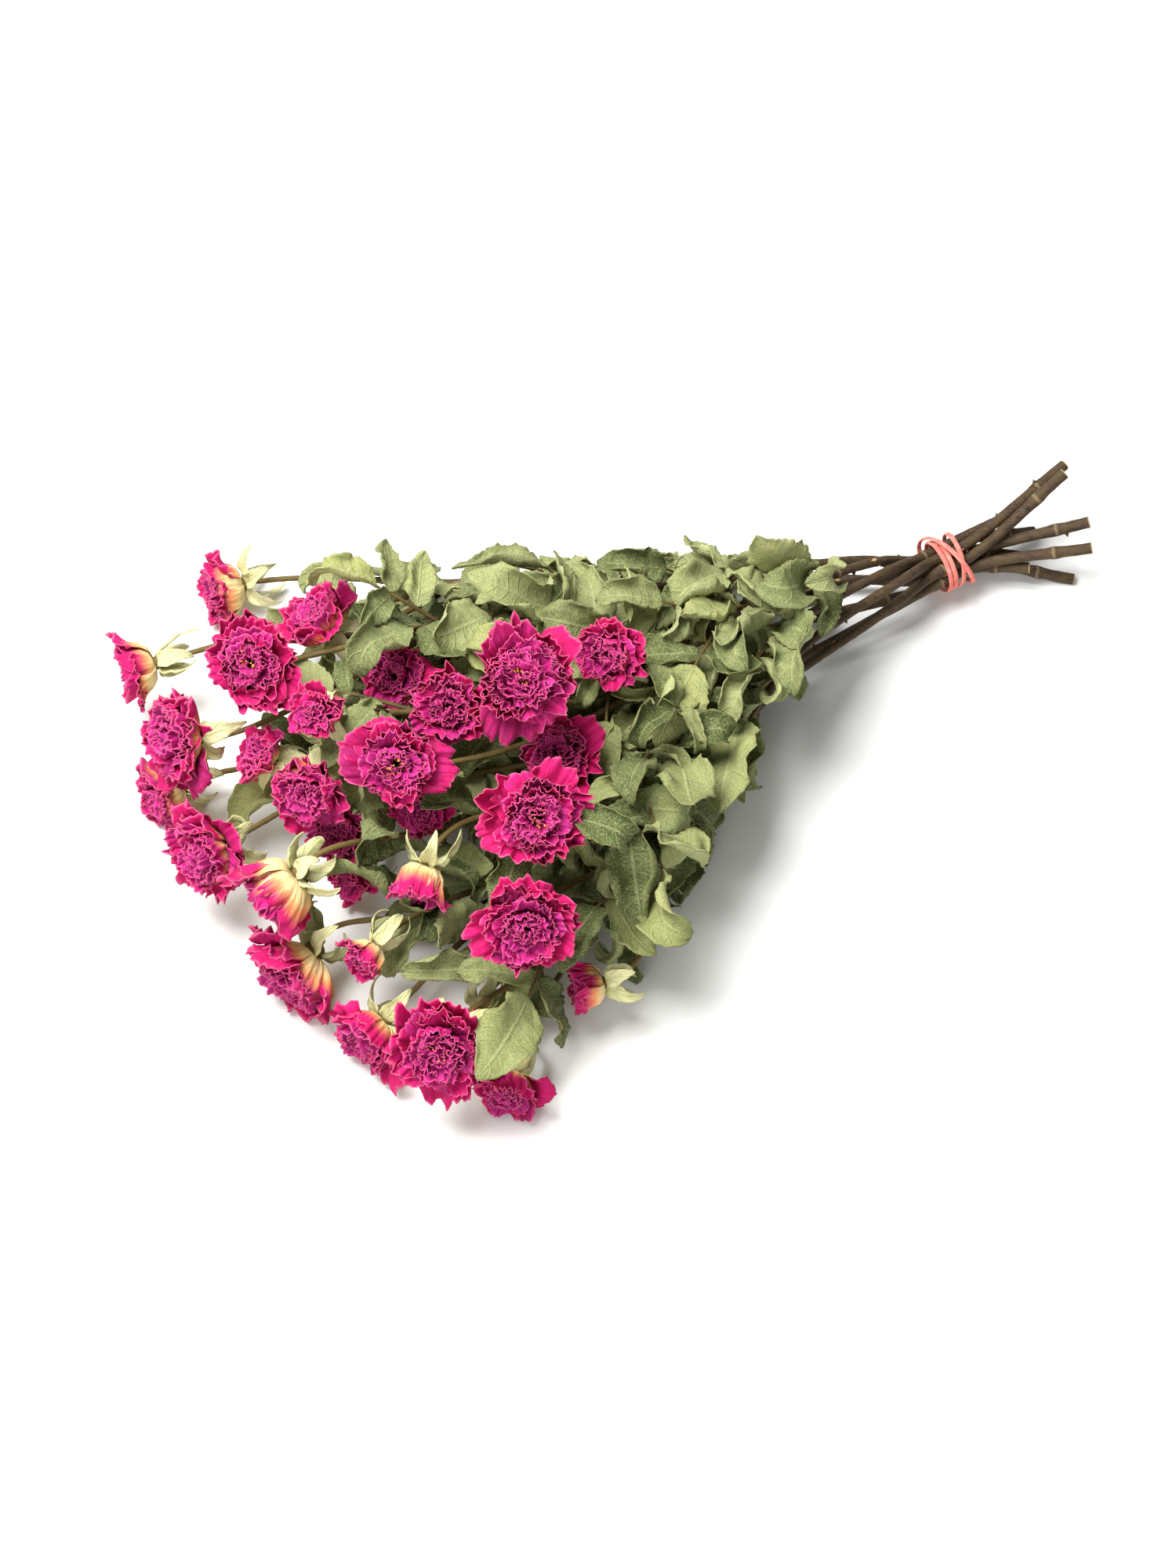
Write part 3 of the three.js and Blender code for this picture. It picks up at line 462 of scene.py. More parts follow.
def placed_leaf(index, leaf, seed, good, enough=math.inf, ended=False):
    """A leaf, swung round its stem to where the most of its leaflets, or enough, are good."""
    best = (None, [])
    for swing in LEAF_SWINGS:
        stalk = stalk_way(STEM_WAYS[index], leaf, swing)
        found = [first_turned(x, good) for x in leaflets_of(stalk, leaf, draws(seed))]
        kept = [x for x in found if x] if found[-1] or not ended else []
        if len(kept) > len(best[1]):
            best = (stalk, kept)
        if len(kept) >= enough:
            break
    return {"share": leaf["share"], "stalk": best[0], "leaflets": best[1]}


def small_leaves(index, packed, taken):
    """Smaller leaves on a stem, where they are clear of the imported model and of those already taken."""
    first, last, _ = STEMS[index][5]
    count, reach = SMALL_LEAVES[index]
    made = []
    for k, leaf in enumerate(small_leaf_row(first, last + reach, count, draws(SMALL_ROW_SEEDS + index))):
        seed = SMALL_LEAF_SEEDS + SMALL_SEEDS_A_STEM * index + k
        trees = (packed, outline_tree(taken))
        made.append(placed_leaf(index, leaf, seed, lambda x: is_clear(x, trees), ENOUGH_LEAFLETS, True))
        taken += [outline_of(x) for x in made[-1]["leaflets"]]
    return [leaf for leaf in made if leaf["leaflets"]]


def packed_leaves(index, seeds):
    """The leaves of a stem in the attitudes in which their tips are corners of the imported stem."""
    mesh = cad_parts[f"leafy_stem_{index + 1}"].data
    tree = kdtree.KDTree(len(mesh.vertices))
    for i, vertex in enumerate(mesh.vertices):
        tree.insert(vertex.co, i)
    tree.balance()

    def is_packed(leaflet):
        along, _, normal = leaflet["axes"]
        reach = along - normal * leaflet["arch"]
        tip = leaflet["start"] + reach * leaflet["length"] + normal * LEAF_THICKNESS / 2
        return tree.find((tip + SHIFT) * MM)[2] < MATCH * MM

    row = zip(leaf_row(*STEMS[index][5], draws(ROW_SEEDS + index)), seeds)
    made = [placed_leaf(index, leaf, seed, is_packed) for leaf, seed in row]
    return [leaf for leaf in made if leaf["leaflets"]]


def all_leaves():
    """The leaves of each stem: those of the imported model, then the small ones between them."""
    made, seed = [], LEAF_SEEDS
    for index, stem in enumerate(STEMS):
        count = stem[5][2]
        made.append(packed_leaves(index, range(seed, seed + count)))
        seed += count
    packed, taken = packed_tree(), []
    for index, own in enumerate(made):
        own += small_leaves(index, packed, taken)
    return made


def ease(value, low, high):
    """0 below low, 1 above high and smooth in between."""
    t = min(max((value - low) / (high - low), 0), 1)
    return t * t * (3 - 2 * t)


# Turns of the band between which it moves apart, crosses back, and is lifted and let down to do so.
PARTING, RETURN, LIFTING, LOWERING = (2.2, 2.9), (3.3, 4), (3.3, 3.5), (3.95, 4.15)
BAND_START, BAND_MIDDLE = 0.3, 2.4


def band_path(steps):
    """The rubber band's middle line: three turns side by side, one apart, and back across them on top."""
    points = []
    for i in range(steps):
        turns = BAND_TURNS * i / steps
        around = FULL_TURN * (turns + BAND_START)
        over = turns + BAND_TURNS if turns < 1 else turns
        lift = STRAND_PITCH * (ease(over, *LIFTING) - ease(over, *LOWERING))
        out = TIE_RING + CUT_RADIUS + GAP + STRAND_RADIUS + lift
        back = (BAND_TURNS * STRAND_PITCH + BAND_APART) * ease(turns, *RETURN)
        along = STRAND_PITCH * (turns - BAND_MIDDLE) + BAND_APART * ease(turns, *PARTING) - back
        outward = UP * math.cos(around) + BUNDLE_BACK * math.sin(around)
        points.append(TIE_MIDDLE + BUNDLE_AXIS * along + outward * out)
    return np.array(points)


def band_shift():
    """From the layout's origin to the frame's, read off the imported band's lowest and highest corners."""
    stations_a_turn = 12
    path = band_path(stations_a_turn * BAND_TURNS)
    ahead = np.roll(path, -1, 0) - np.roll(path, 1, 0)
    ahead /= np.linalg.norm(ahead, axis=1)[:, None]
    outward = path - TIE_MIDDLE
    outward -= ahead * (outward * ahead).sum(1)[:, None]
    outward /= np.linalg.norm(outward, axis=1)[:, None]
    sides = [side * STRAND_RADIUS for side in (outward, np.cross(ahead, outward))]
    points = np.concatenate([path + sign * side for side in sides for sign in (1, -1)])
    low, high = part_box("rubber_band")
    return (vec(low) + vec(high)) / 2 / MM - (points.min(0) + points.max(0)) / 2


SHIFT = band_shift()
STEM_WAYS = [stem_way(stem) for stem in STEMS]
LEAVES = all_leaves()


def row_point(layout_point):
    """A point of the layout in the frame, in metres."""
    return tuple((vec(layout_point) + SHIFT) * MM)


# ---- node trees written as expressions ----
def chosen(sockets, key):
    """A node's socket by its place among those in use, or by its name."""
    used = [socket for socket in sockets if socket.enabled]
    return used[key] if isinstance(key, int) else next(s for s in used if s.name == key)


def forward(operation):
    return lambda self, *others: self.maths(operation, self, *others)


def reflected(operation):
    return lambda self, other: self.maths(operation, other, self)


class Wire:
    """An output socket. Maths on it adds the nodes that do it."""

    __add__, __radd__ = forward("ADD"), reflected("ADD")
    __sub__, __rsub__ = forward("SUBTRACT"), reflected("SUBTRACT")
    __mul__, __rmul__ = forward("MULTIPLY"), reflected("MULTIPLY")
    __truediv__, __pow__ = forward("DIVIDE"), forward("POWER")
    __gt__, __lt__ = forward("GREATER_THAN"), forward("LESS_THAN")
    sin, cos, size, fraction = forward("SINE"), forward("COSINE"), forward("ABSOLUTE"), forward("FRACT")
    least, most = forward("MINIMUM"), forward("MAXIMUM")

    def __init__(self, graph, socket):
        self.graph, self.socket = graph, socket

    def other(self, key):
        """Another output of the same node."""
        return Wire(self.graph, chosen(self.socket.node.outputs, key))

    def maths(self, operation, *values):
        numbers = [v for v in values if not is_vector(v)]
        if len(numbers) == len(values):
            return self.graph.node("ShaderNodeMath", {"operation": operation}, dict(enumerate(values)))
        if operation == "MULTIPLY" and numbers:
            vector = next(v for v in values if v is not numbers[0])
            return self.graph.vector("SCALE", vector, Scale=numbers[0])
        return self.graph.vector(operation, *values)

    def between(self, low, high):
        """0 below low, 1 above high and smooth in between."""
        inputs = {"Value": self, "From Min": low, "From Max": high}
        return self.graph.node("ShaderNodeMapRange", {"interpolation_type": "SMOOTHSTEP"}, inputs)


def is_vector(value):
    wired = isinstance(value, Wire) and value.socket.type in {"VECTOR", "RGBA"}
    return wired or isinstance(value, tuple)


class Graph:
    """A node tree under construction."""

    def __init__(self, tree):
        self.tree = tree

    def node(self, kind, settings=None, inputs=None, key=0):
        """A new node, its settings made first and its sockets next, as the wire of one of its outputs."""
        made = self.tree.nodes.new(kind)
        for name, value in (settings or {}).items():
            setattr(made, name, value)
        for name, value in (inputs or {}).items():
            for each in value if isinstance(value, list) else [value]:
                self.feed(chosen(made.inputs, name), each)
        return Wire(self, chosen(made.outputs, key)) if made.outputs else None

    def feed(self, socket, value):
        if isinstance(value, Wire):
            self.tree.links.new(value.socket, socket)
        elif socket.type == "RGBA" and len(value) == 3:
            socket.default_value = (*value, 1)
        else:
            socket.default_value = value

    def vector(self, operation, *values, **named):
        inputs = {**dict(enumerate(values)), **named}
        return self.node("ShaderNodeVectorMath", {"operation": operation}, inputs)

    def xyz(self, *values):
        return self.node("ShaderNodeCombineXYZ", None, dict(enumerate(values)))

    def parts(self, vector):
        x = self.node("ShaderNodeSeparateXYZ", None, {0: vector})
        return x, x.other(1), x.other(2)

    def noise(self, vector, scale, detail=2.0, rough=0.5):
        inputs = {"Vector": vector, "Scale": scale, "Detail": detail, "Roughness": rough}
        return self.node("ShaderNodeTexNoise", None, inputs)


class Shape(Graph):
    """A Geometry Nodes tree with named inputs, which starts from the geometry of the object it stands on."""

    KINDS = {int: "Int", float: "Float", type(None): "Vector"}

    def __init__(self, name, inputs):
        super().__init__(bpy.data.node_groups.new(name, "GeometryNodeTree"))
        self.tree.interface.new_socket("Geometry", in_out="OUTPUT", socket_type="NodeSocketGeometry")
        self.taking("Geometry", "Geometry")
        self.keys = {"Material": self.taking("Material", "Material").identifier}
        for label, default in inputs.items():
            socket = self.taking(label, self.KINDS[type(default)])
            self.keys[label] = socket.identifier
            if default is not None:
                socket.default_value = default
        self.given = self.node("NodeGroupInput").other
        self.position = self.node("GeometryNodeInputPosition")

    def taking(self, label, kind):
        return self.tree.interface.new_socket(label, in_out="INPUT", socket_type=f"NodeSocket{kind}")

    def named(self, name, kind="FLOAT"):
        return self.node("GeometryNodeInputNamedAttribute", {"data_type": kind}, {"Name": name})

    def keep(self, geometry, name, value, kind="FLOAT"):
        inputs = {"Geometry": geometry, "Name": name, "Value": value}
        return self.node("GeometryNodeStoreNamedAttribute", {"data_type": kind, "domain": "POINT"}, inputs)

    def random(self, low, high, who, seed):
        inputs = {"Min": low, "Max": high, "ID": who, "Seed": seed}
        return self.node("FunctionNodeRandomValue", {"data_type": "FLOAT"}, inputs)

    def sheet(self, columns, rows):
        """A flat grid whose points know how far along (s, 0 to 1) and across (w, -1 to 1) they are."""
        sizes = {"Size X": 2, "Size Y": 1, "Vertices X": columns, "Vertices Y": rows}
        x, y, _ = self.parts(self.position)
        return self.keep(self.keep(self.node("GeometryNodeMeshGrid", None, sizes), "w", x), "s", y + 0.5)

    def on_points(self, points, instance, **more):
        inputs = {"Points": points, "Instance": instance, **more}
        made = self.node("GeometryNodeInstanceOnPoints", None, inputs)
        return self.node("GeometryNodeRealizeInstances", None, {0: made})

    def tube(self, way, sides, thick, caps):
        """A tube of a radius along each curve."""
        rim = self.node("GeometryNodeCurvePrimitiveCircle", None, {"Resolution": sides, "Radius": 1.0})
        inputs = {"Curve": way, "Profile Curve": rim, "Scale": thick, "Fill Caps": caps}
        return self.node("GeometryNodeCurveToMesh", None, inputs)

    def cone(self, sides, top, bottom, depth):
        sizes = {"Radius Top": top, "Radius Bottom": bottom, "Depth": depth}
        return self.node("GeometryNodeMeshCone", None, {"Vertices": sides, "Fill Segments": 1, **sizes})

    def aimed(self, axis, along, settings=None, **inputs):
        """A rotation that points an axis along a vector."""
        inputs["Vector"] = along
        return self.node("FunctionNodeAlignRotationToVector", {"axis": axis, **(settings or {})}, inputs)

    def joined(self, *pieces):
        return self.node("GeometryNodeJoinGeometry", None, {0: list(pieces)})

    def moved(self, geometry, **how):
        return self.node("GeometryNodeSetPosition", None, {"Geometry": geometry, **how})

    def above(self, geometry, place, height):
        """A geometry moved to a place, but nowhere lower than a height over the table."""
        x, y, z = self.parts(place)
        return self.moved(geometry, Position=self.xyz(x, y, z.most(height)))

    def finish(self, geometry):
        """Realized, smooth and in its material."""
        real = self.node("GeometryNodeRealizeInstances", None, {0: geometry})
        smooth = self.node("GeometryNodeSetShadeSmooth", None, {"Geometry": real})
        inputs = {"Geometry": smooth, "Material": self.given("Material")}
        self.node("NodeGroupOutput", None, {0: self.node("GeometryNodeSetMaterial", None, inputs)})
        return self


def settle(piece, name):
    """Puts a piece's evaluated mesh in its place and takes its modifiers off."""
    graph = bpy.context.evaluated_depsgraph_get()
    seen = piece.evaluated_get(graph)
    mesh = bpy.data.meshes.new_from_object(seen, preserve_all_data_layers=True, depsgraph=graph)
    piece.modifiers.clear()
    piece.data = mesh
    mesh.name = name


def grow(name, shape, source, values, materials, thickness=0.0):
    """A piece: the mesh that a tree makes from a source mesh, with a wall if it has a thickness."""
    piece = bpy.data.objects.new(name, source)
    modifier = piece.modifiers.new("Growth", "NODES")
    modifier.node_group = shape.tree
    for label, value in {"Material": materials[0], **values}.items():
        modifier[shape.keys[label]] = value
    bpy.context.scene.collection.objects.link(piece)
    settle(piece, name)
    for material in materials[1:]:
        piece.data.materials.append(material)
    if thickness:
        wall = piece.modifiers.new("Wall", "SOLIDIFY")
        wall.thickness, wall.offset = thickness, -1
        wall.material_offset = len(materials) - 1
        settle(piece, name)
    return piece


def cloud(name, points, edges=(), **attributes):
    """A source mesh of points of the layout, with float or vector attributes on them."""
    mesh = bpy.data.meshes.new(name)
    mesh.from_pydata([row_point(p) for p in points], list(edges), [])
    for label, values in attributes.items():
        values = np.array(values, float)
        kind, field = ("FLOAT_VECTOR", "vector") if values.ndim == 2 else ("FLOAT", "value")
        mesh.attributes.new(label, kind, "POINT").data.foreach_set(field, values.ravel())
    return mesh


# ---- shapes, in metres and radians ----
# The least height over the table. Petals that lie on it differ a little, so that none coincide.
WOOD_CLEARANCE, BLADE_CLEARANCE, PETAL_CLEARANCE, CLEARANCE_SPREAD = 0.0002, 0.0006, 0.0004, 0.0006
GOLDEN_TURN = math.pi * (3 - math.sqrt(5))
DEGREE = math.radians(1)
PETAL_COLUMNS, PETAL_ROWS = 34, 7
ROW_CROWDING = 1.4  # past 1, rows stand closer together towards the rim
PLEAT = 0.0019  # a length across a petal that ruffles are counted in, so that wide and narrow ones match
SEAT = 0.9 * MM  # how far a bloom sinks into its hip
LEAST_BEND = 8 * DEGREE
MOST_WRAP = 1.5  # how far a petal wraps round the bloom to each side
PETAL_INPUTS = {
    "Petals": 34, "Radius": 0.017, "Openness": 0.9, "Seed": 1, "Base": None, "Facing": None, "Across": None,
    "Ruffle": 1.0,
}


def arc(start, stop, share):
    """How far out and up a bend of unit length has come at a share of it, and the lean there."""
    bend = stop - start
    here = start + bend * share
    return (start.cos() - here.cos()) / bend, (here.sin() - start.sin()) / bend, here


def petal_shape():
    """A rose: ruffled petals in a spiral, from broad leaning outer ones to narrow upright inner ones."""
    g = Shape("Ruffled rose", PETAL_INPUTS)
    count, radius, openness, seed = (g.given(x) for x in ("Petals", "Radius", "Openness", "Seed"))
    base, facing, across = (g.given(x) for x in ("Base", "Facing", "Across"))
    line = g.node("GeometryNodePoints", None, {"Count": count})
    line = g.keep(line, "petal", g.node("GeometryNodeInputIndex"))
    petals = g.on_points(line, g.sheet(PETAL_COLUMNS, PETAL_ROWS))

    petal, w = g.named("petal"), g.named("w")
    s = 1 - (1 - g.named("s")) ** ROW_CROWDING
    inner = petal / (count - 1)
    outer, guard = 1 - inner, (1 - inner) ** 9
    chance = [g.random(0.0, 1.0, petal, seed * 8 + k) for k in range(8)]

    # Ruffles: broad waves, fine pleats, and a lobed and ragged rim.
    half = radius * (0.2 + 0.42 * outer + 0.06 * guard) * (0.8 + 0.4 * chance[2])
    step = w * half / PLEAT
    spot = petal * 3.7 + seed * 11.3
    broad = g.noise(g.xyz(step * 0.3, s * 0.8, spot), 1.0, 1.0) - 0.5
    pleat = g.noise(g.xyz(step * (0.8 + 0.8 * inner), s * 1.2, spot + 50.0), 1.0, 1.0) - 0.5
    lobes = g.noise(g.xyz(step * 0.45, spot, 3.0), 1.0, 1.0) - 0.5
    ragged = g.noise(g.xyz(step * 1.1, spot, 9.0), 1.0, 2.0, 0.6) - 0.5

    # Bend: from the root up the belly, then out to the rim, or in again where a petal is cupped.
    shut = 1 - openness
    belly = 0.42 + 0.2 * shut
    root_lean = (80 + shut * 34 - inner * (50 + shut * 10)) * DEGREE
    belly_lean = (openness * 6 - 4 - shut * 26 + outer * (openness * 54 - 4) + guard * openness * 10) * DEGREE
    flare = (chance[0] - 0.45) * (outer * 84 + 26) * (0.5 + openness * 0.5)
    rim_lean = (openness * 24 + outer * (openness * 48 + 12) + guard * 8 + flare) * DEGREE
    rim_lean = rim_lean.most(belly_lean + LEAST_BEND)
    cupped = chance[7] < openness * (0.1 + 0.6 * outer)
    rim_lean = rim_lean + cupped * (belly_lean - (8 + 44 * chance[6]) * DEGREE - rim_lean)
    length = radius * (0.56 + 0.38 * outer + guard * (0.02 + 0.08 * openness) + shut * 0.6 * outer ** 0.8)
    length = length * (0.92 + 0.2 * chance[1]) * (1 + (lobes * (0.3 + 0.3 * guard) + ragged * 0.2) * s * s)
    share = s * (1 - 0.3 * w.size() ** 3 * s * s)
    out1, up1, _ = arc(root_lean.most(belly_lean + LEAST_BEND), belly_lean, (share / belly).least(1.0))
    out2, up2, here = arc(belly_lean, rim_lean, ((share - belly) / (1 - belly)).most(0.0))
    root = radius * (0.16 - 0.13 * inner)
    out = root + length * (out1 * belly + out2 * (1 - belly))
    up = radius * 0.2 * inner - SEAT + length * (up1 * belly + up2 * (1 - belly))

    # Spiral: each petal a golden turn on, wrapped round the bloom by its own width.
    spread = 0.34 + 0.66 * (1 - (1 - s) ** 2.2)
    around = (w * half * spread / (out + radius * 0.08)).least(MOST_WRAP).most(-MOST_WRAP)
    turn = petal * GOLDEN_TURN + (chance[3] - 0.5) * 0.8 + around
    away = across * turn.cos() + g.vector("CROSS_PRODUCT", facing, across) * turn.sin()
    inside = facing * here.sin() - away * here.cos()
    grown = g.given("Ruffle") * (0.05 + 0.95 * s * s)
    rise = grown * (radius * broad * (0.45 + 0.75 * guard) + pleat * (0.0052 + 0.0045 * outer) * s)
    curl = s.between(0.7, 1.0) * (chance[4] - 0.45) * radius * (0.16 + 0.25 * guard)
    place = base + facing * up + away * out + inside * (rise + curl) + away * (grown * radius * broad * 0.1)
    flower = g.above(petals, place, PETAL_CLEARANCE + CLEARANCE_SPREAD * chance[4])
    for name, value in (("inner", inner), ("s", s), ("tone", chance[5])):
        flower = g.keep(flower, name, value)
    return g.finish(flower)


LEAF_VEINS, SEPAL_VEINS = 8.0, 3.0  # a side
BLADE_INPUTS = {
    "Columns": 11, "Rows": 30, "Teeth": 11.0, "Tooth": 0.12, "Veins": LEAF_VEINS, "Vein depth": 0.0003,
    "Crinkle": 0.0022, "Curl": 1.0, "Point": 0.8,
}
NECK = 0.55  # share of a blade's length up to which it only arches, before its tip rolls over
MOST_ROLL = 1.9  # how far a blade's edge rolls in


def blade_shape():
    """Leaflets or sepals: pointed, folded, arched, rolled at the tip and edges, toothed and puffed."""
    g = Shape("Curled blades", BLADE_INPUTS)
    blades = g.on_points(g.given("Geometry"), g.sheet(g.given("Columns"), g.given("Rows")))
    s, w, tone = (g.named(x) for x in ("s", "w", "tone"))
    axes = ("start", "along", "across", "normal")
    start, along, across, normal = (g.named(x, "FLOAT_VECTOR") for x in axes)
    sizes = ("length", "half", "arch", "fold", "curl", "twist")
    length, half, arch, fold, curl, twist = (g.named(x) for x in sizes)

    # Outline: a pointed profile, with teeth and fine unevenness at the edge.
    spot = g.xyz(w, s * 2.4, tone * 97)
    broad = g.noise(spot, 0.9, 1.0) - 0.5
    fine = g.noise(spot, 3.0, 3.0, 0.6) - 0.5
    side = w.size()
    edge = side ** 5
    profile = (s ** g.given("Point") * math.pi).sin().most(0.0) ** 0.8 + 0.035
    tooth = ((s * g.given("Teeth")).fraction() - 0.5) * g.given("Tooth") * edge + fine * 0.4 * edge
    flat = w * half * profile * (1 + tooth)

    # Spine: a neck that arches, then a tip that rolls over, with a twist.
    neck = arch * 2 * NECK
    bend = curl * g.given("Curl") * 2.4
    first, rest = neck * (s / NECK).least(1.0), ((s - NECK) / (1 - NECK)).most(0.0)
    here = first + bend * rest
    ahead = first.sin() / neck * NECK + (here.sin() - first.sin()) / bend * (1 - NECK)
    down = (1 - first.cos()) / neck * NECK
    down = down + (first.cos() - here.cos()) / bend * (1 - NECK)
    up = normal * here.cos() + along * here.sin()
    turn = twist * s
    beside = across * turn.cos() + up * turn.sin()
    above = up * turn.cos() - across * turn.sin()

    # Section: folded along the rib, rolled at the edges, puffed between the side veins and crinkled.
    roll = 2 * fold / half + g.given("Curl") * (curl * 0.7 + broad * 5.5)
    angle = (flat / half * roll).most(-MOST_ROLL).least(MOST_ROLL)
    x = flat * (1 - angle * angle / 6)
    lift = flat * angle * 0.5 * (1 - angle * angle / 12)
    vein = (s * g.given("Veins") - side * profile * 1.3).fraction() * 2 - 1
    puff = (1 - vein * vein) * g.given("Vein depth") * (1 - edge) * side.between(0.0, 0.25)
    ripple = g.given("Crinkle") * (broad * 1.6 * s.between(0.0, 0.2) + fine * (0.35 + side))
    spine = start + along * (length * ahead) - normal * (length * down)
    place = spine + beside * x + above * (lift + puff + ripple)
    return g.finish(g.above(blades, place, BLADE_CLEARANCE))


WOOD_INPUTS = {"Sides": 12, "Bark": 0.00025, "Prickles": 2600.0, "Seed": 1}
# What stands on old wood: its name, share of the prickles, sides, radius, height and stretch.
OUTGROWTHS = (
    ("scar", 0.5, 4, 0.00125, 0.0004, (1.7, 0.8, 1.0)),
    ("prickle", 0.5, 7, 0.0008, 0.0021, (1.5, 0.8, 1.0)),
)


def wood_shape():
    """Stems and shoots along their ways: knotty bark, capped ends, and scars and prickles on old wood."""
    g = Shape("Prickly wood", WOOD_INPUTS)
    ways = g.node("GeometryNodeMeshToCurve", None, {"Mesh": g.given("Geometry")})
    wood = g.tube(ways, g.given("Sides"), g.named("thick"), True)
    normal = g.node("GeometryNodeInputNormal")
    rough = (g.noise(g.position, 420.0, 3.0) - 0.5) * 1.6 + (g.noise(g.position, 1400.0, 2.0) - 0.5) * 0.7
    wood = g.moved(wood, Offset=normal * (rough * g.given("Bark")))
    old, ahead, seed = g.named("old"), g.named("ahead", "FLOAT_VECTOR"), g.given("Seed")
    who = g.node("GeometryNodeInputIndex")
    pieces = [wood]
    for kind, share, sides, radius, height, stretch in OUTGROWTHS:
        density = g.given("Prickles") * share
        spread = {"Mesh": wood, "Selection": old > 0.5, "Density": density, "Seed": seed + sides}
        spots = g.node("GeometryNodeDistributePointsOnFaces", None, spread)
        upright = g.aimed("Z", spots.other("Normal"))
        level = g.aimed("X", ahead, {"pivot_axis": "Z"}, Rotation=upright)
        cone = g.keep(g.cone(sides, 0.0, radius, height), kind, 1.0)
        scale = g.random(0.5, 1.1, who, seed + 3)
        pieces.append(g.on_points(spots, cone, Rotation=level, Scale=g.xyz(*(scale * x for x in stretch))))
    return g.finish(g.above(g.joined(*pieces), g.position, WOOD_CLEARANCE))


THREAD = (4, 0.00012, 0.00018)  # sides, and radius at the top and the bottom
ANTHER_STRETCH = (1.0, 0.7, 1.4)
STAMEN_INPUTS = {"Stamens": 22, "Filament": 0.0036, "Anther": 0.00042, "Seed": 7}


def stamen_shape():
    """A tuft of stamens in the heart of each open bloom."""
    g = Shape("Stamens", STAMEN_INPUTS)
    copies = {"Geometry": g.given("Geometry"), "Amount": g.given("Stamens")}
    tufts = g.node("GeometryNodeDuplicateElements", {"domain": "POINT"}, copies)
    who, seed, filament = g.node("GeometryNodeInputIndex"), g.given("Seed"), g.given("Filament")
    facing, reach = g.named("facing", "FLOAT_VECTOR"), g.named("reach")
    fan = g.xyz(*(g.random(-1.0, 1.0, who, seed + k) for k in range(3)))
    uneven = facing * (reach * g.random(-0.3, 0.3, who, seed + 5))
    tufts = g.moved(tufts, Position=g.position + fan * reach + uneven)
    thread = g.cone(*THREAD, filament)
    bead = g.node("GeometryNodeMeshIcoSphere", None, {"Radius": g.given("Anther"), "Subdivisions": 2})
    raised = {"Geometry": bead, "Translation": g.xyz(0.0, 0.0, filament), "Scale": ANTHER_STRETCH}
    bead = g.keep(g.node("GeometryNodeTransform", None, raised), "anther", 1.0)
    return g.finish(g.on_points(tufts, g.joined(thread, bead), Rotation=g.aimed("Z", facing + fan * 0.8)))


BAND_INPUTS = {"Thickness": 0.00095, "Sides": 14, "Middle": None, "Axis": None, "Flatness": 0.6}
BAND_WIDTH = 1.12  # of the round strand's


def band_shape():
    """The rubber band: one closed strand along its way, wide and flat on the stems that it holds."""
    g = Shape("Rubber strand", BAND_INPUTS)
    way = g.node("GeometryNodeMeshToCurve", None, {"Mesh": g.given("Geometry")})
    way = g.keep(way, "core", g.position, "FLOAT_VECTOR")
    strand = g.tube(way, g.given("Sides"), g.given("Thickness"), False)
    core, axis = g.named("core", "FLOAT_VECTOR"), g.given("Axis")
    reach = core - g.given("Middle")
    outward = g.vector("NORMALIZE", reach - axis * g.vector("DOT_PRODUCT", reach, axis))
    offset = g.position - core
    raised = g.vector("DOT_PRODUCT", offset, outward)
    wobble = (g.noise(core, 300.0, 1.0) - 0.5) * 0.3
    flat = core + offset * (BAND_WIDTH + wobble) - outward * (raised * (BAND_WIDTH - g.given("Flatness")))
    return g.finish(g.moved(strand, Position=flat))


# ---- materials ----
# The grain of each finish, as scale, detail and roughness of its noise, from patches down to specks.
PETAL_BLOTCHES, PETAL_SKIN, PETAL_STREAKS = (240.0, 3.0, 0.6), (1500.0, 2.0, 0.6), (2.4, 3.0, 0.65)
LEAF_MOTTLE, LEAF_CELLS, LEAF_SKIN = (150.0, 4.0, 0.65), (520.0, 3.0, 0.6), (1300.0, 3.0, 0.6)
BARK_PATCHES, BARK_FIBRES, BARK_SPECKS = (110.0, 4.0, 0.65), (1000.0, 3.0, 0.6), (1900.0, 2.0, 0.5)
POLLEN = (1200.0, 2.0, 0.5)
RUBBER_WEAR, RUBBER_DUST = (240.0, 4.0, 0.65), (2200.0, 2.0, 0.5)
PAPER = (60.0, 2.0, 0.5)
FIBRE_STRETCH = (0.3, 1.0, 1.0)
# The relief of each finish, as the depth in metres and the strength of its bump.
PETAL_RELIEF, LEAF_RELIEF = (0.0006, 0.7), (0.0009, 0.7)
BARK_RELIEF, SMALL_RELIEF = (0.0004, 0.6), (0.0003, 0.5)
VEIN_HALF, RIB_HALF, RIM_START = 0.09, 0.09, 0.8  # as shares of a vein's pitch and of the half width
SHADE_NEAR, SHADE_FAR = -0.06, 0.05  # painted shade: leaves are darkened at the front of the bunch, between these


def linear(colour):
    """A colour as it is seen, from 0 to 1, to the light that it stands for."""
    return tuple(c / 12.92 if c <= 0.04045 else ((c + 0.055) / 1.055) ** 2.4 for c in colour)


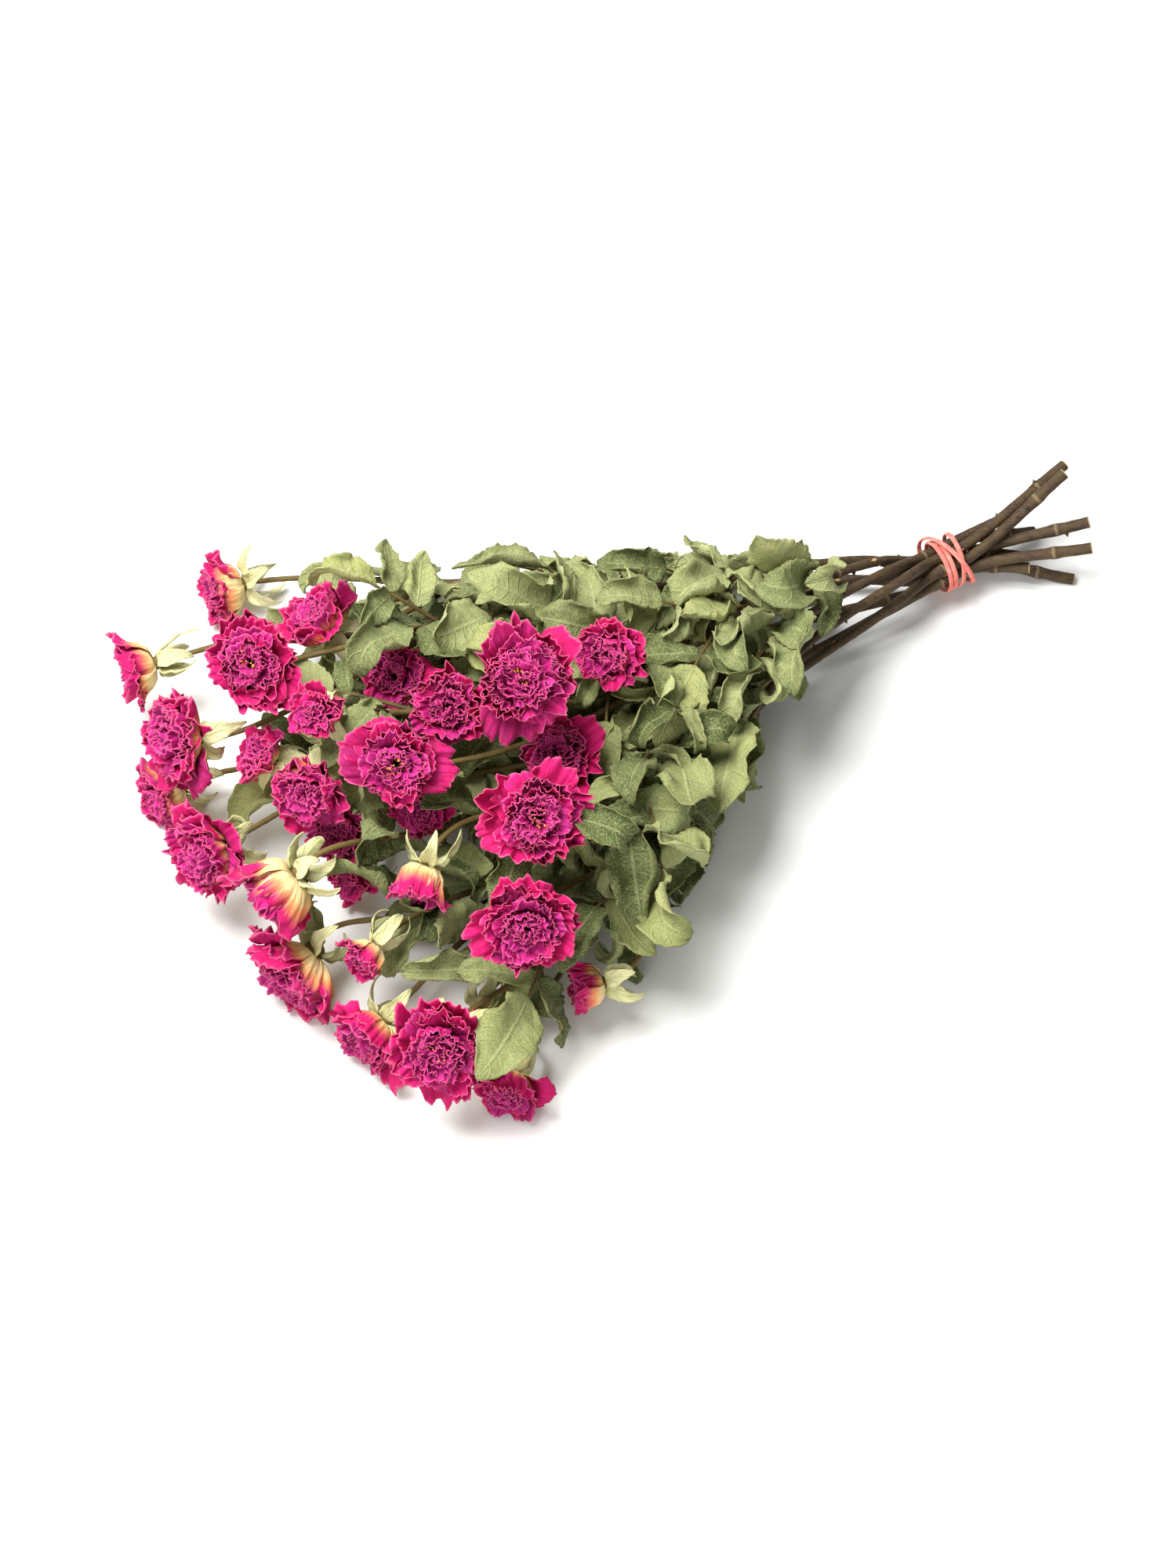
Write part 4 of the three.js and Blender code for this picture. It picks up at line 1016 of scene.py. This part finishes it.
class Finish(Graph):
    """A material under construction."""

    def __init__(self, name):
        self.material = bpy.data.materials.new(name)
        self.material.use_nodes = True
        super().__init__(self.material.node_tree)
        self.shader = next(n for n in self.tree.nodes if n.type == "BSDF_PRINCIPLED")
        self.place = self.node("ShaderNodeTexCoord", key="Object")

    def named(self, name):
        return self.node("ShaderNodeAttribute", {"attribute_name": name}, key="Fac")

    def grain(self, kind):
        return self.noise(self.place, *kind)

    def mix(self, share, first, second, blend="MIX"):
        """Two colours, wired or as they are seen, mixed by a share."""
        first, second = (c if isinstance(c, Wire) else linear(c) for c in (first, second))
        settings = {"data_type": "RGBA", "blend_type": blend}
        return self.node("ShaderNodeMix", settings, {"Factor": share, "A": first, "B": second})

    def layered(self, colour, *layers):
        """A colour with others laid over it in turn, each by its share."""
        for share, over in layers:
            colour = self.mix(share, colour, over)
        return colour

    def shine(self, colour, roughness, height=None, relief=(), **constant):
        """Joins colour, roughness and relief to the shader, and sets what is the same all over."""
        self.feed(self.shader.inputs["Base Color"], colour)
        self.feed(self.shader.inputs["Roughness"], roughness)
        for name, value in constant.items():
            self.shader.inputs[name.replace("_", " ")].default_value = value
        if height is not None:
            inputs = {"Height": height, **dict(zip(("Distance", "Strength"), relief))}
            self.feed(self.shader.inputs["Normal"], self.node("ShaderNodeBump", None, inputs))
        return self.material


def petal_finish(name, colours, back):
    """Dried petal: cream base, crimson blade, purple heart, dark streaks, painted shade in the folds towards
    the base of the face, pale rim; the back has more cream.
    """
    f = Finish(name)
    s, w, inner, tone = (f.named(x) for x in ("s", "w", "inner", "tone"))
    blotch, fine = f.grain(PETAL_BLOTCHES), f.grain(PETAL_SKIN)
    streak = f.noise(f.xyz(w * 8.0, s * 1.5, inner * 60 + tone * 40), *PETAL_STREAKS)
    patchy, toned = blotch - 0.5, tone - 0.5
    heart = (inner + patchy * 0.8 + toned * 0.5).between(0.0, 0.5)
    flesh = f.layered(
        colours.crimson,
        (heart, colours.purple),
        ((streak + toned * 0.5).between(0.42, 0.8) * 0.65, colours.deep),
        ((1 - tone + patchy).between(0.8, 1.2) * 0.45, colours.pink),
    )
    if back:
        reach = 0.35 + tone * 0.35 + (streak - 0.5) * 0.4
        base = 1 - (s + inner * 0.4 - reach).between(-0.12, 0.3)
        warm = (s - reach + 0.22 + patchy * 0.3).between(0.0, 0.3)
    else:
        # painted shade: the face darkens to the deep colour towards its base, where the folds between petals
        # lie in shadow
        painted_fold_shade = 1 - (s + patchy * 0.3).between(0.3, 0.8)
        flesh = f.mix(painted_fold_shade * (0.35 + inner * 0.5), flesh, colours.deep)
        base = 1 - (s + (streak - 0.5) * 0.35 + inner * 0.3).between(0.12, 0.34)
        warm = (s + patchy * 0.3).between(0.1, 0.3)
    rim = (s + patchy * 0.05).between(0.95, 1.0) * (0.5 - inner * 0.15)
    glow = f.mix(warm, colours.cream, colours.amber)
    colour = f.layered(flesh, (base, glow), (rim, colours.rim), ((fine - 0.5).size() * 0.6, colours.deep))
    height = streak * 0.7 + fine * 0.5
    return f.shine(colour, 0.6 + fine * 0.25, height, PETAL_RELIEF, Specular_IOR_Level=0.25)


def leaf_finish(name, body, vein, brown, veins):
    """Dried leaf: mottled grey-green, paler midrib and side veins, browned here and there at the rim, and
    darkened at the front of the bunch as painted shade.
    """
    f = Finish(name)
    s, w, tone = (f.named(x) for x in ("s", "w", "tone"))
    side = w.size()
    # painted shade: near is 1 at the front of the bunch and 0 behind it, by place along Y
    near = 1 - f.parts(f.place)[1].between(SHADE_NEAR, SHADE_FAR)
    mottle, cells, fine = (f.grain(x) for x in (LEAF_MOTTLE, LEAF_CELLS, LEAF_SKIN))
    patchy = mottle - 0.5
    row = (s * veins - side * 1.15 + patchy * 0.25).fraction()
    side_vein = (1 - (row - 0.5).size().between(0.0, VEIN_HALF)) * (1 - side.between(RIM_START, 1.0))
    line = side_vein.most(1 - side.between(0.02, RIB_HALF))
    colour = f.layered(
        body[0],
        # near holds the front leaves back from their paler tone and lays the dark tone over them: painted
        # shade
        ((mottle * 0.6 + tone * 1.1 - near * 0.35).between(0.2, 0.95), body[1]),
        ((tone + patchy * 0.7).between(0.75, 1.05) * 0.7, body[2]),
        (near * 0.35, body[0]),
        (line * (0.14 + mottle * 0.2), vein),
        ((side + patchy * 0.5).between(0.92, 1.1) * 0.6, brown),
        ((fine - 0.45).most(0.0) * 1.4, vein),
    )
    colour = f.mix((0.45 - fine).most(0.0) * 1.2, colour, body[0], "MULTIPLY")
    height = line * 0.5 + fine * 0.5 + mottle + cells * 0.8
    return f.shine(colour, 0.68 + mottle * 0.2, height, LEAF_RELIEF, Specular_IOR_Level=0.3)


def wood_finish(name, colours):
    """Bark, olive brown on old wood and greener on young, with tan scars, pale rings and cut ends."""
    f = Finish(name)
    young, cut, scar, ring = (f.named(x) for x in ("young", "cut", "scar", "ring"))
    grain = f.noise(f.vector("MULTIPLY", f.place, FIBRE_STRETCH), *BARK_FIBRES)
    patch, speck = f.grain(BARK_PATCHES), f.grain(BARK_SPECKS)
    colour = f.layered(
        colours.bark_dark,
        (grain.between(0.3, 0.7), colours.bark),
        (patch.between(0.42, 0.68) * 0.75, colours.olive),
        ((young + (patch - 0.5) * 0.7).between(0.45, 1.05), colours.young),
        (speck.between(0.64, 0.78) * 0.3, colours.pith),
        ((ring + (speck - 0.5)).between(0.5, 0.9) * 0.35, colours.pith),
        (scar * (0.45 + 0.5 * grain), colours.scar),
        (1 - (cut + (speck - 0.5) * 0.3).between(0.1, 0.5), colours.pith),
    )
    height = grain * 0.7 + patch * 0.5 + speck * 0.3
    return f.shine(colour, 0.6 + grain * 0.25, height, BARK_RELIEF, Specular_IOR_Level=0.3)


def stamen_finish(name, colours):
    """Cream threads with yellow to amber anthers."""
    f = Finish(name)
    speck = f.grain(POLLEN)
    pollen = f.mix(speck.between(0.35, 0.7), colours.pollen, colours.amber)
    return f.shine(f.mix(f.named("anther"), colours.cream, pollen), 0.8, speck, SMALL_RELIEF)


def rubber_finish(name, colours):
    """Old matt rubber, dusty and rubbed pale here and there."""
    f = Finish(name)
    worn, dust = f.grain(RUBBER_WEAR), f.grain(RUBBER_DUST)
    rubbed = (worn.between(0.35, 0.7) * 0.8, colours.rubber_worn)
    dusty = (dust.between(0.5, 0.8) * 0.3, colours.rubber_worn)
    colour = f.layered(colours.rubber, rubbed, dusty)
    return f.shine(colour, 0.68 + worn * 0.2, dust + worn, SMALL_RELIEF, Specular_IOR_Level=0.25)


# ---- sizes and colours that a user would change ----
def shade(name, description, default):
    """A colour as it is seen, from 0 to 1."""
    return bpy.props.FloatVectorProperty(
        name=name, description=description, default=default, size=3, min=0, max=1, subtype="COLOR_GAMMA"
    )


def amount(name, description, default, **more):
    """A plain number, or a length where its unit is given."""
    return bpy.props.FloatProperty(name=name, description=description, default=default, **more)


def span(name, description, default):
    return amount(name, description, default, unit="LENGTH", precision=5)


class RoseSizes(bpy.types.PropertyGroup):
    """How fine and how worn the bunch is made"""

    petals_per_mm: amount("Petals", "Petals for each millimetre of a bloom's radius", 2.1)
    ruffle: amount("Ruffle", "How strongly petals are ruffled at their rims", 1.0)
    petal_wall: span("Petal thickness", "Thickness of a dried petal", 0.00028)
    leaf_wall: span("Leaf thickness", "Thickness of a dried leaf", 0.00035)
    leaf_curl: amount("Leaf curl", "How strongly leaves are rolled up", 1.0)
    bark: span("Bark", "Height of the unevenness of the bark", 0.0003)
    strand: span("Strand", "Radius of the rubber band's strand", 0.00095)


class RoseColours(bpy.types.PropertyGroup):
    """The colours of the bunch, as they are seen"""

    crimson: shade("Crimson", "Outer petals", (0.75, 0.055, 0.37))
    purple: shade("Purple", "Inner petals", (0.76, 0.17, 0.52))
    # deep is the petals' own dark streaks and specks, and painted shade in their folds
    deep: shade("Deep", "Shaded folds of petals", (0.44, 0.01, 0.20))
    pink: shade("Pink", "Faded petals", (0.75, 0.13, 0.38))
    rim: shade("Rim", "Worn rims of petals", (0.90, 0.45, 0.56))
    cream: shade("Cream", "Bases of petals", (0.91, 0.82, 0.60))
    amber: shade("Amber", "Between the base and the blade of a petal", (0.96, 0.66, 0.36))
    pollen: shade("Pollen", "Anthers", (0.86, 0.62, 0.10))
    # leaf_dark, back_dark and sepal are also laid over the front of the bunch as painted shade
    leaf_dark: shade("Dark leaf", "Upper side of leaves", (0.27, 0.31, 0.14))
    leaf_mid: shade("Mid leaf", "Upper side of leaves where it is dry", (0.56, 0.58, 0.38))
    leaf_olive: shade("Olive leaf", "Yellowed leaves", (0.61, 0.62, 0.36))
    back_dark: shade("Leaf back", "Underside of leaves", (0.40, 0.42, 0.25))
    back_pale: shade("Pale leaf back", "Underside of leaves where it is palest", (0.63, 0.65, 0.45))
    back_olive: shade("Olive leaf back", "Underside of yellowed leaves", (0.65, 0.65, 0.40))
    vein: shade("Vein", "Midribs and side veins", (0.73, 0.75, 0.53))
    brown: shade("Brown", "Dry rims of leaves", (0.42, 0.38, 0.20))
    sepal: shade("Sepal", "Sepals", (0.78, 0.78, 0.56))
    sepal_pale: shade("Pale sepal", "Sepals at their palest", (0.84, 0.82, 0.64))
    bark: shade("Bark", "Old wood", (0.31, 0.24, 0.165))
    bark_dark: shade("Dark bark", "Furrows of old wood", (0.20, 0.15, 0.10))
    olive: shade("Olive bark", "Patches on old wood", (0.32, 0.26, 0.15))
    young: shade("Young wood", "Shoots near the blooms", (0.42, 0.35, 0.18))
    pith: shade("Pith", "Cut ends of stems", (0.66, 0.57, 0.42))
    scar: shade("Scar", "Scars where prickles came off", (0.80, 0.64, 0.42))
    rubber: shade("Rubber", "Rubber band", (0.84, 0.42, 0.38))
    rubber_worn: shade("Worn rubber", "Rubber band where it is rubbed", (0.93, 0.60, 0.54))
    floor: shade("Floor", "The floor", (0.93, 0.93, 0.92))


def hand_over(piece, slot, *nodes):
    """Puts a finished piece under the root body and hides the imported nodes that it stands for; its slot is
    not used.
    """
    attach(piece, "root")
    if nodes:
        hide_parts(*nodes)


# ---- stage ----
PHOTO_SCALE = 0.31  # millimetres a pixel
PHOTO_TALL = 2000
CAMERA_LENS, SENSOR = 135, 36
CAMERA_AIM = (-147.2, -121.6, 45)
FLOOR_REACH = 4
LIGHTS = (  # name, place, side and power
    ("key_light", (-0.55, 0.2, 1.6), 1.0, 62),
    ("fill_light", (1.2, -1.0, 1.1), 1.5, 4),
    ("front_light", (-0.6, -1.3, 1.0), 1.2, 17),
)
WORLD_LIGHT = 0.12


def placed(name, data, place, target):
    """An object in the scene that looks at a target."""
    made = bpy.data.objects.new(name, data)
    made.location = place
    made.rotation_euler = (target - made.location).to_track_quat("-Z", "Y").to_euler()
    bpy.context.scene.collection.objects.link(made)
    return made


class RoseStage(bpy.types.Operator):
    """Floor, soft lights and camera"""

    bl_idname = "roses.stage"
    bl_label = "Stage"

    def execute(self, context):
        scene, pale = context.scene, context.scene.rose_colours.floor
        aim = Vector(row_point(CAMERA_AIM))
        lens = bpy.data.cameras.new("camera")
        lens.lens, lens.sensor_width = CAMERA_LENS, SENSOR
        distance = PHOTO_SCALE * MM * PHOTO_TALL * CAMERA_LENS / SENSOR
        scene.camera = placed("camera", lens, aim + distance * Vector(SIGHT), aim)

        mesh, far = bpy.data.meshes.new("floor"), FLOOR_REACH
        mesh.from_pydata([(-far, -far, 0), (far, -far, 0), (far, far, 0), (-far, far, 0)], [], [(0, 1, 2, 3)])
        floor = bpy.data.objects.new("floor", mesh)
        scene.collection.objects.link(floor)
        paper = Finish("Pale floor")
        paper.shine(paper.mix(paper.grain(PAPER) * 0.1, pale, tuple(c * 0.97 for c in pale)), 0.9)
        mesh.materials.append(paper.material)
        floor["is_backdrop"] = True

        for name, place, side, power in LIGHTS:
            light = bpy.data.lights.new(name, "AREA")
            light.energy, light.size = power, side
            placed(name, light, place, aim)
        scene.world = bpy.data.worlds.new("Studio")
        scene.world.use_nodes = True
        inputs = scene.world.node_tree.nodes["Background"].inputs
        inputs["Color"].default_value, inputs["Strength"].default_value = (1, 1, 1, 1), WORLD_LIGHT
        scene.view_settings.view_transform = "Standard"
        return {"FINISHED"}


# ---- the pieces ----
LEAST_PETALS = 10


class RoseBlooms(bpy.types.Operator):
    """Thirty ruffled roses, each in place of its packed bloom"""

    bl_idname = "roses.blooms"
    bl_label = "Blooms"

    def execute(self, context):
        sizes, colours = context.scene.rose_sizes, context.scene.rose_colours
        shape = petal_shape()
        face = petal_finish("Petal face", colours, back=False)
        back = petal_finish("Petal back", colours, back=True)
        for number, (_, faces, radius, openness) in BLOOMS.items():
            along, across, _ = frame_along(faces)
            values = {
                "Petals": round(LEAST_PETALS + radius * sizes.petals_per_mm), "Radius": radius * MM,
                "Openness": float(openness), "Seed": number, "Base": row_point(bloom_base(number)),
                "Facing": tuple(along), "Across": tuple(across), "Ruffle": sizes.ruffle,
            }
            name = f"rose_head_{number:02d}"
            head = grow(name, shape, bpy.data.meshes.new(name), values, (back, face), sizes.petal_wall)
            hand_over(head, "petals", f"bloom_{number:02d}")
        return {"FINISHED"}


OPEN_BLOOM = 1
TUFT_HEIGHT, TUFT_REACH = 0.46, 0.085  # of the bloom's radius


class RoseStamens(bpy.types.Operator):
    """Yellow stamens in the hearts of the open blooms"""

    bl_idname = "roses.stamens"
    bl_label = "Stamens"

    def execute(self, context):
        opened = [(n, bloom[2]) for n, bloom in BLOOMS.items() if bloom[3] >= OPEN_BLOOM]
        hearts = [bloom_base(n) + facing_of(n) * TUFT_HEIGHT * radius for n, radius in opened]
        reach = [TUFT_REACH * radius * MM for _, radius in opened]
        source = cloud("stamens", hearts, facing=[facing_of(n) for n, _ in opened], reach=reach)
        material = stamen_finish("Stamens", context.scene.rose_colours)
        hand_over(grow("stamens", stamen_shape(), source, {}, (material,)), "petals")
        return {"FINISHED"}


FAR_FROM_CUT = 9  # further from a cut end than its pale wood shows
KNOT, KNOT_REACH = 0.45, 2.5  # height and half length of the swelling at a joint
OLD_SHARE, KNOTTY_SHARE = 0.72, 0.9  # how much of a stem is old wood, and how much bears knots
LEAFLESS_KNOTS, SHOOT_KNOTS = [0.04, 0.17], [0.45]  # by share of the length
BARE_RADIUS = 0.93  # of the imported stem's
STATION_PITCH, LEAST_STATIONS, STALK_STATIONS = 2, 12, 14
HIP_SEAM = 0.004  # share of a stem's length left free where its hip begins
STEM_YOUTH, SHOOT_YOUTH, STALK_YOUTH = (0.0, 1.0), (0.55, 1.0), (0.6, 0.9)  # from foot to end


def line_of(way, count, share, radius, old=lambda u: 0, cut=lambda u: FAR_FROM_CUT, knots=()):
    """Points along a way to a share of it, with what the wood's tree reads at each."""
    near = share / (count - 1) / 2
    shares = np.linspace(0, share, count)
    return [(way.at(u), radius(u), old(u), cut(u), any(abs(u - k) < near for k in knots)) for u in shares]


def hip_radius(number):
    return max(HIP_LEAST, HIP_WIDTH * BLOOMS[number][2])


def hip_profile(hip):
    """Distance under the bloom and radius, from the shoot up to the cup's mouth."""
    neck = ((7.0, SHOOT_RADIUS), (5.8, 1.3), (4.8, 0.55 * hip + 0.4))
    return (*neck, (3.6, 0.86 * hip), (2.3, hip), (1.0, 0.97 * hip), (0.2, 0.85 * hip))


def hipped_line(way, number, thick, knots, **marks):
    """A stem's or shoot's line to its hip, and on through the hip to the bloom."""
    share = 1 - HIP_LENGTH / way.length

    def radius(u):
        swell = sum(KNOT * math.exp(-(((u - k) * way.length / KNOT_REACH) ** 2)) for k in knots)
        return (thick + (SHOOT_RADIUS - thick) * u / share) * BARE_RADIUS + swell * (u < KNOTTY_SHARE)

    count = max(LEAST_STATIONS, int(way.length / STATION_PITCH))
    line = line_of(way, count, share - HIP_SEAM, radius, knots=knots, **marks)
    facing, end = facing_of(number), shoot_end(number)
    return line + [(end - facing * d, r, 0, FAR_FROM_CUT, 0) for d, r in hip_profile(hip_radius(number))]


def wood_source(index, leaves):
    """The lines of one stem, its shoots and its leaf stalks as one source mesh."""
    stem, top, shoots = STEM_WAYS[index], *STEMS[index][3:5]
    knots = [leaf["share"] for leaf in leaves] + [share for share, _, _ in shoots] + LEAFLESS_KNOTS
    marks = {"old": lambda u: u < OLD_SHARE, "cut": lambda u: u * stem.length}
    lines = [(hipped_line(stem, top, CUT_RADIUS, knots, **marks), STEM_YOUTH)]
    for share, number, bow in shoots:
        way = shoot_way(stem, share, number, bow)
        lines.append((hipped_line(way, number, SHOOT_ROOT, SHOOT_KNOTS), SHOOT_YOUTH))
    for leaf in leaves:
        lines.append((line_of(leaf["stalk"], STALK_STATIONS, 1.0, lambda u: 1.0 - 0.45 * u), STALK_YOUTH))
    points, edges = [], []
    columns = {label: [] for label in ("thick", "old", "cut", "ring", "young", "ahead")}
    for line, (youth, end_youth) in lines:
        begin, end = len(points), len(line) - 1
        for i, (point, radius, *marks) in enumerate(line):
            points.append(point)
            ahead = line[min(i + 1, end)][0] - line[max(i - 1, 0)][0]
            young = youth + (end_youth - youth) * i / end
            for column, value in zip(columns.values(), (radius * MM, *marks, young, ahead)):
                column.append(value)
        edges += [(i, i + 1) for i in range(begin, len(points) - 1)]
    return cloud(f"wood_{index + 1}", points, edges, **columns)


class RoseWood(bpy.types.Operator):
    """Nine woody stems with their shoots, hips, prickles and leaf stalks"""

    bl_idname = "roses.wood"
    bl_label = "Stems"

    def execute(self, context):
        shape, bark = wood_shape(), wood_finish("Bark", context.scene.rose_colours)
        for index, leaves in enumerate(LEAVES):
            values = {"Bark": context.scene.rose_sizes.bark, "Seed": index + 1}
            piece = grow(f"wood_{index + 1}", shape, wood_source(index, leaves), values, (bark,))
            hand_over(piece, "stems", f"leafy_stem_{index + 1}")
        return {"FINISHED"}


def blade_source(name, blades):
    """A source mesh for blades: one point each, with its axes and how it is bent."""
    scales = {"length": MM, "half": MM, "fold": MM}
    labels = ("length", "half", "arch", "fold", "curl", "twist", "tone")
    columns = {x: [b[x] * scales.get(x, 1) for b in blades] for x in labels}
    for k, label in enumerate(("along", "across", "normal")):
        columns[label] = [b["axes"][k] for b in blades]
    starts = [b["start"] for b in blades]
    return cloud(name, starts, start=[row_point(p) for p in starts], **columns)


def curl_of(chance):
    """How far a leaflet's tip rolls under: strongly for a few, and for some a little upwards instead."""
    return 1.5 * chance**2 if chance > 0.25 else -0.3


class RoseLeaves(bpy.types.Operator):
    """Leaflets of nine stems, curled as they dried"""

    bl_idname = "roses.leaves"
    bl_label = "Leaves"

    def execute(self, context):
        sizes, colours = context.scene.rose_sizes, context.scene.rose_colours
        shape = blade_shape()
        upper, under = (
            leaf_finish(name, [getattr(colours, x) for x in body], colours.vein, colours.brown, LEAF_VEINS)
            for name, body in (
                ("Leaf face", ("leaf_dark", "leaf_mid", "leaf_olive")),
                ("Leaf back", ("back_dark", "back_pale", "back_olive")),
            )
        )
        for index, leaves in enumerate(LEAVES):
            step = draws(CURL_SEEDS + index)
            blades = [
                {
                    **leaflet, "half": leaflet["length"] * LEAFLET_WIDTH / 2, "curl": curl_of(step()),
                    "twist": 1.6 * (step() - 0.5), "tone": step(),
                }
                for leaf in leaves for leaflet in leaf["leaflets"]
            ]
            name, curl = f"leaves_{index + 1}", {"Curl": sizes.leaf_curl}
            piece = grow(name, shape, blade_source(name, blades), curl, (under, upper), sizes.leaf_wall)
            hand_over(piece, "foliage", f"leafy_stem_{index + 1}")
        return {"FINISHED"}


SEPAL_WALL = 0.0003
SEPAL_VALUES = {
    "Columns": 7, "Rows": 18, "Tooth": 0.0, "Veins": SEPAL_VEINS, "Vein depth": 0.0001, "Crinkle": 0.0006,
    "Curl": 0.8, "Point": 0.45,
}


def sepals_of(path, number, seed):
    """The five sepals of one hip, bent back from it. The path behind the hip sets how they stand round it."""
    step = draws(seed)
    facing, radius = facing_of(number), BLOOMS[number][2]
    across = frame_along(path[1] - path[0])[1]
    for i in range(len(path)):
        ahead = unit(path[min(i + 1, len(path) - 1)] - path[max(i - 1, 0)])
        across = square_to(across, ahead)
    made = []
    for k in range(SEPALS):
        outward = square_to(rotated(across, ahead, 360 * (k + 1) / SEPALS), facing)
        tangent = np.cross(facing, outward)
        length = SEPAL_LENGTH * (0.75 + 0.55 * step())
        back = math.radians(SEPAL_BEND + 60 * (step() - 0.5))
        along = outward * math.cos(back) - facing * math.sin(back)
        made.append({
            "start": path[-1] - facing * 0.2 * HIP_LENGTH + outward * 0.75 * hip_radius(number),
            "axes": turned((along, tangent, np.cross(along, tangent)), 50 * (step() - 0.5), 0),
            "length": length, "half": 2.4 + 0.1 * radius, "arch": 0.06 + 0.4 * step(), "fold": 0.6,
            "curl": 0.15 + 0.9 * step(), "twist": 1.2 * (step() - 0.5), "tone": step(),
        })
    return made


def hip_path(stations, number):
    """A packed stem's or shoot's stations, and on through its hip."""
    facing, end = facing_of(number), shoot_end(number)
    return [*stations, end - facing * 0.5 * HIP_LENGTH, end]


def stem_stations(way, points):
    """Two stations for each length between a stem's points, but only one in the first two lengths."""
    segments = points + 4  # its way points with the cut end, two at the band and two at the hip
    return [way.point(i / (2 * segments)) for i in range(2 * segments - 1) if i not in (1, 3)]


def shoot_stations(way):
    return [way.at(i / 3 * (1 - HIP_LENGTH / way.length)) for i in range(4)]


class RoseSepals(bpy.types.Operator):
    """Pale curled sepals round every hip"""

    bl_idname = "roses.sepals"
    bl_label = "Sepals"

    def execute(self, context):
        colours = context.scene.rose_colours
        shape, tones = blade_shape(), (colours.sepal, colours.sepal_pale, colours.back_olive)
        finish = leaf_finish("Sepal", tones, colours.sepal_pale, colours.brown, SEPAL_VEINS)
        for index, (stem, way) in enumerate(zip(STEMS, STEM_WAYS)):
            points, top, shoots = stem[2:5]
            path = hip_path(stem_stations(way, len(points)), top)
            blades = sepals_of(path, top, TOP_SEPAL_SEEDS + index)
            for share, number, bow in shoots:
                path = hip_path(shoot_stations(shoot_way(way, share, number, bow)), number)
                blades += sepals_of(path, number, SHOOT_SEPAL_SEEDS + number)
            name = f"sepals_{index + 1}"
            piece = grow(name, shape, blade_source(name, blades), SEPAL_VALUES, (finish,), SEPAL_WALL)
            hand_over(piece, "foliage", f"leafy_stem_{index + 1}")
        return {"FINISHED"}


BAND_STATIONS = 90  # a turn


class RoseBand(bpy.types.Operator):
    """The rubber band wound round the stems"""

    bl_idname = "roses.band"
    bl_label = "Rubber band"

    def execute(self, context):
        count = BAND_STATIONS * BAND_TURNS
        source = cloud("rubber_strand", band_path(count), [(i, (i + 1) % count) for i in range(count)])
        material = rubber_finish("Rubber", context.scene.rose_colours)
        thick, middle = context.scene.rose_sizes.strand, row_point(TIE_MIDDLE)
        values = {"Thickness": thick, "Middle": middle, "Axis": tuple(BUNDLE_AXIS)}
        strand = grow("rubber_strand", band_shape(), source, values, (material,))
        hand_over(strand, "rubber_band", "rubber_band")
        return {"FINISHED"}


OPERATORS = (RoseStage, RoseBand, RoseWood, RoseLeaves, RoseSepals, RoseBlooms, RoseStamens)


class RosePanel(bpy.types.Panel):
    """The steps that build the bunch, and its sizes and colours"""

    bl_idname = "VIEW3D_PT_roses"
    bl_label = "Dried rose bunch"
    bl_space_type = "VIEW_3D"
    bl_region_type = "UI"
    bl_category = "Roses"

    def draw(self, context):
        for operator in OPERATORS:
            self.layout.operator(operator.bl_idname)
        for group in (context.scene.rose_sizes, context.scene.rose_colours):
            for name in group.__annotations__:
                self.layout.prop(group, name)


CLASSES = (RoseSizes, RoseColours, *OPERATORS, RosePanel)


def register():
    for made in CLASSES:
        bpy.utils.register_class(made)
    bpy.types.Scene.rose_sizes = bpy.props.PointerProperty(type=RoseSizes)
    bpy.types.Scene.rose_colours = bpy.props.PointerProperty(type=RoseColours)


def unregister():
    del bpy.types.Scene.rose_colours
    del bpy.types.Scene.rose_sizes
    for made in reversed(CLASSES):
        bpy.utils.unregister_class(made)


def corners(box):
    return [list(corner) for corner in box]


def main():
    register()
    for operator in OPERATORS:
        group, name = operator.bl_idname.split(".")
        getattr(getattr(bpy.ops, group), name)()
    {"cad": corners(CAD_BOX), "visual": corners(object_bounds())}


if __name__ == "__main__":
    main()
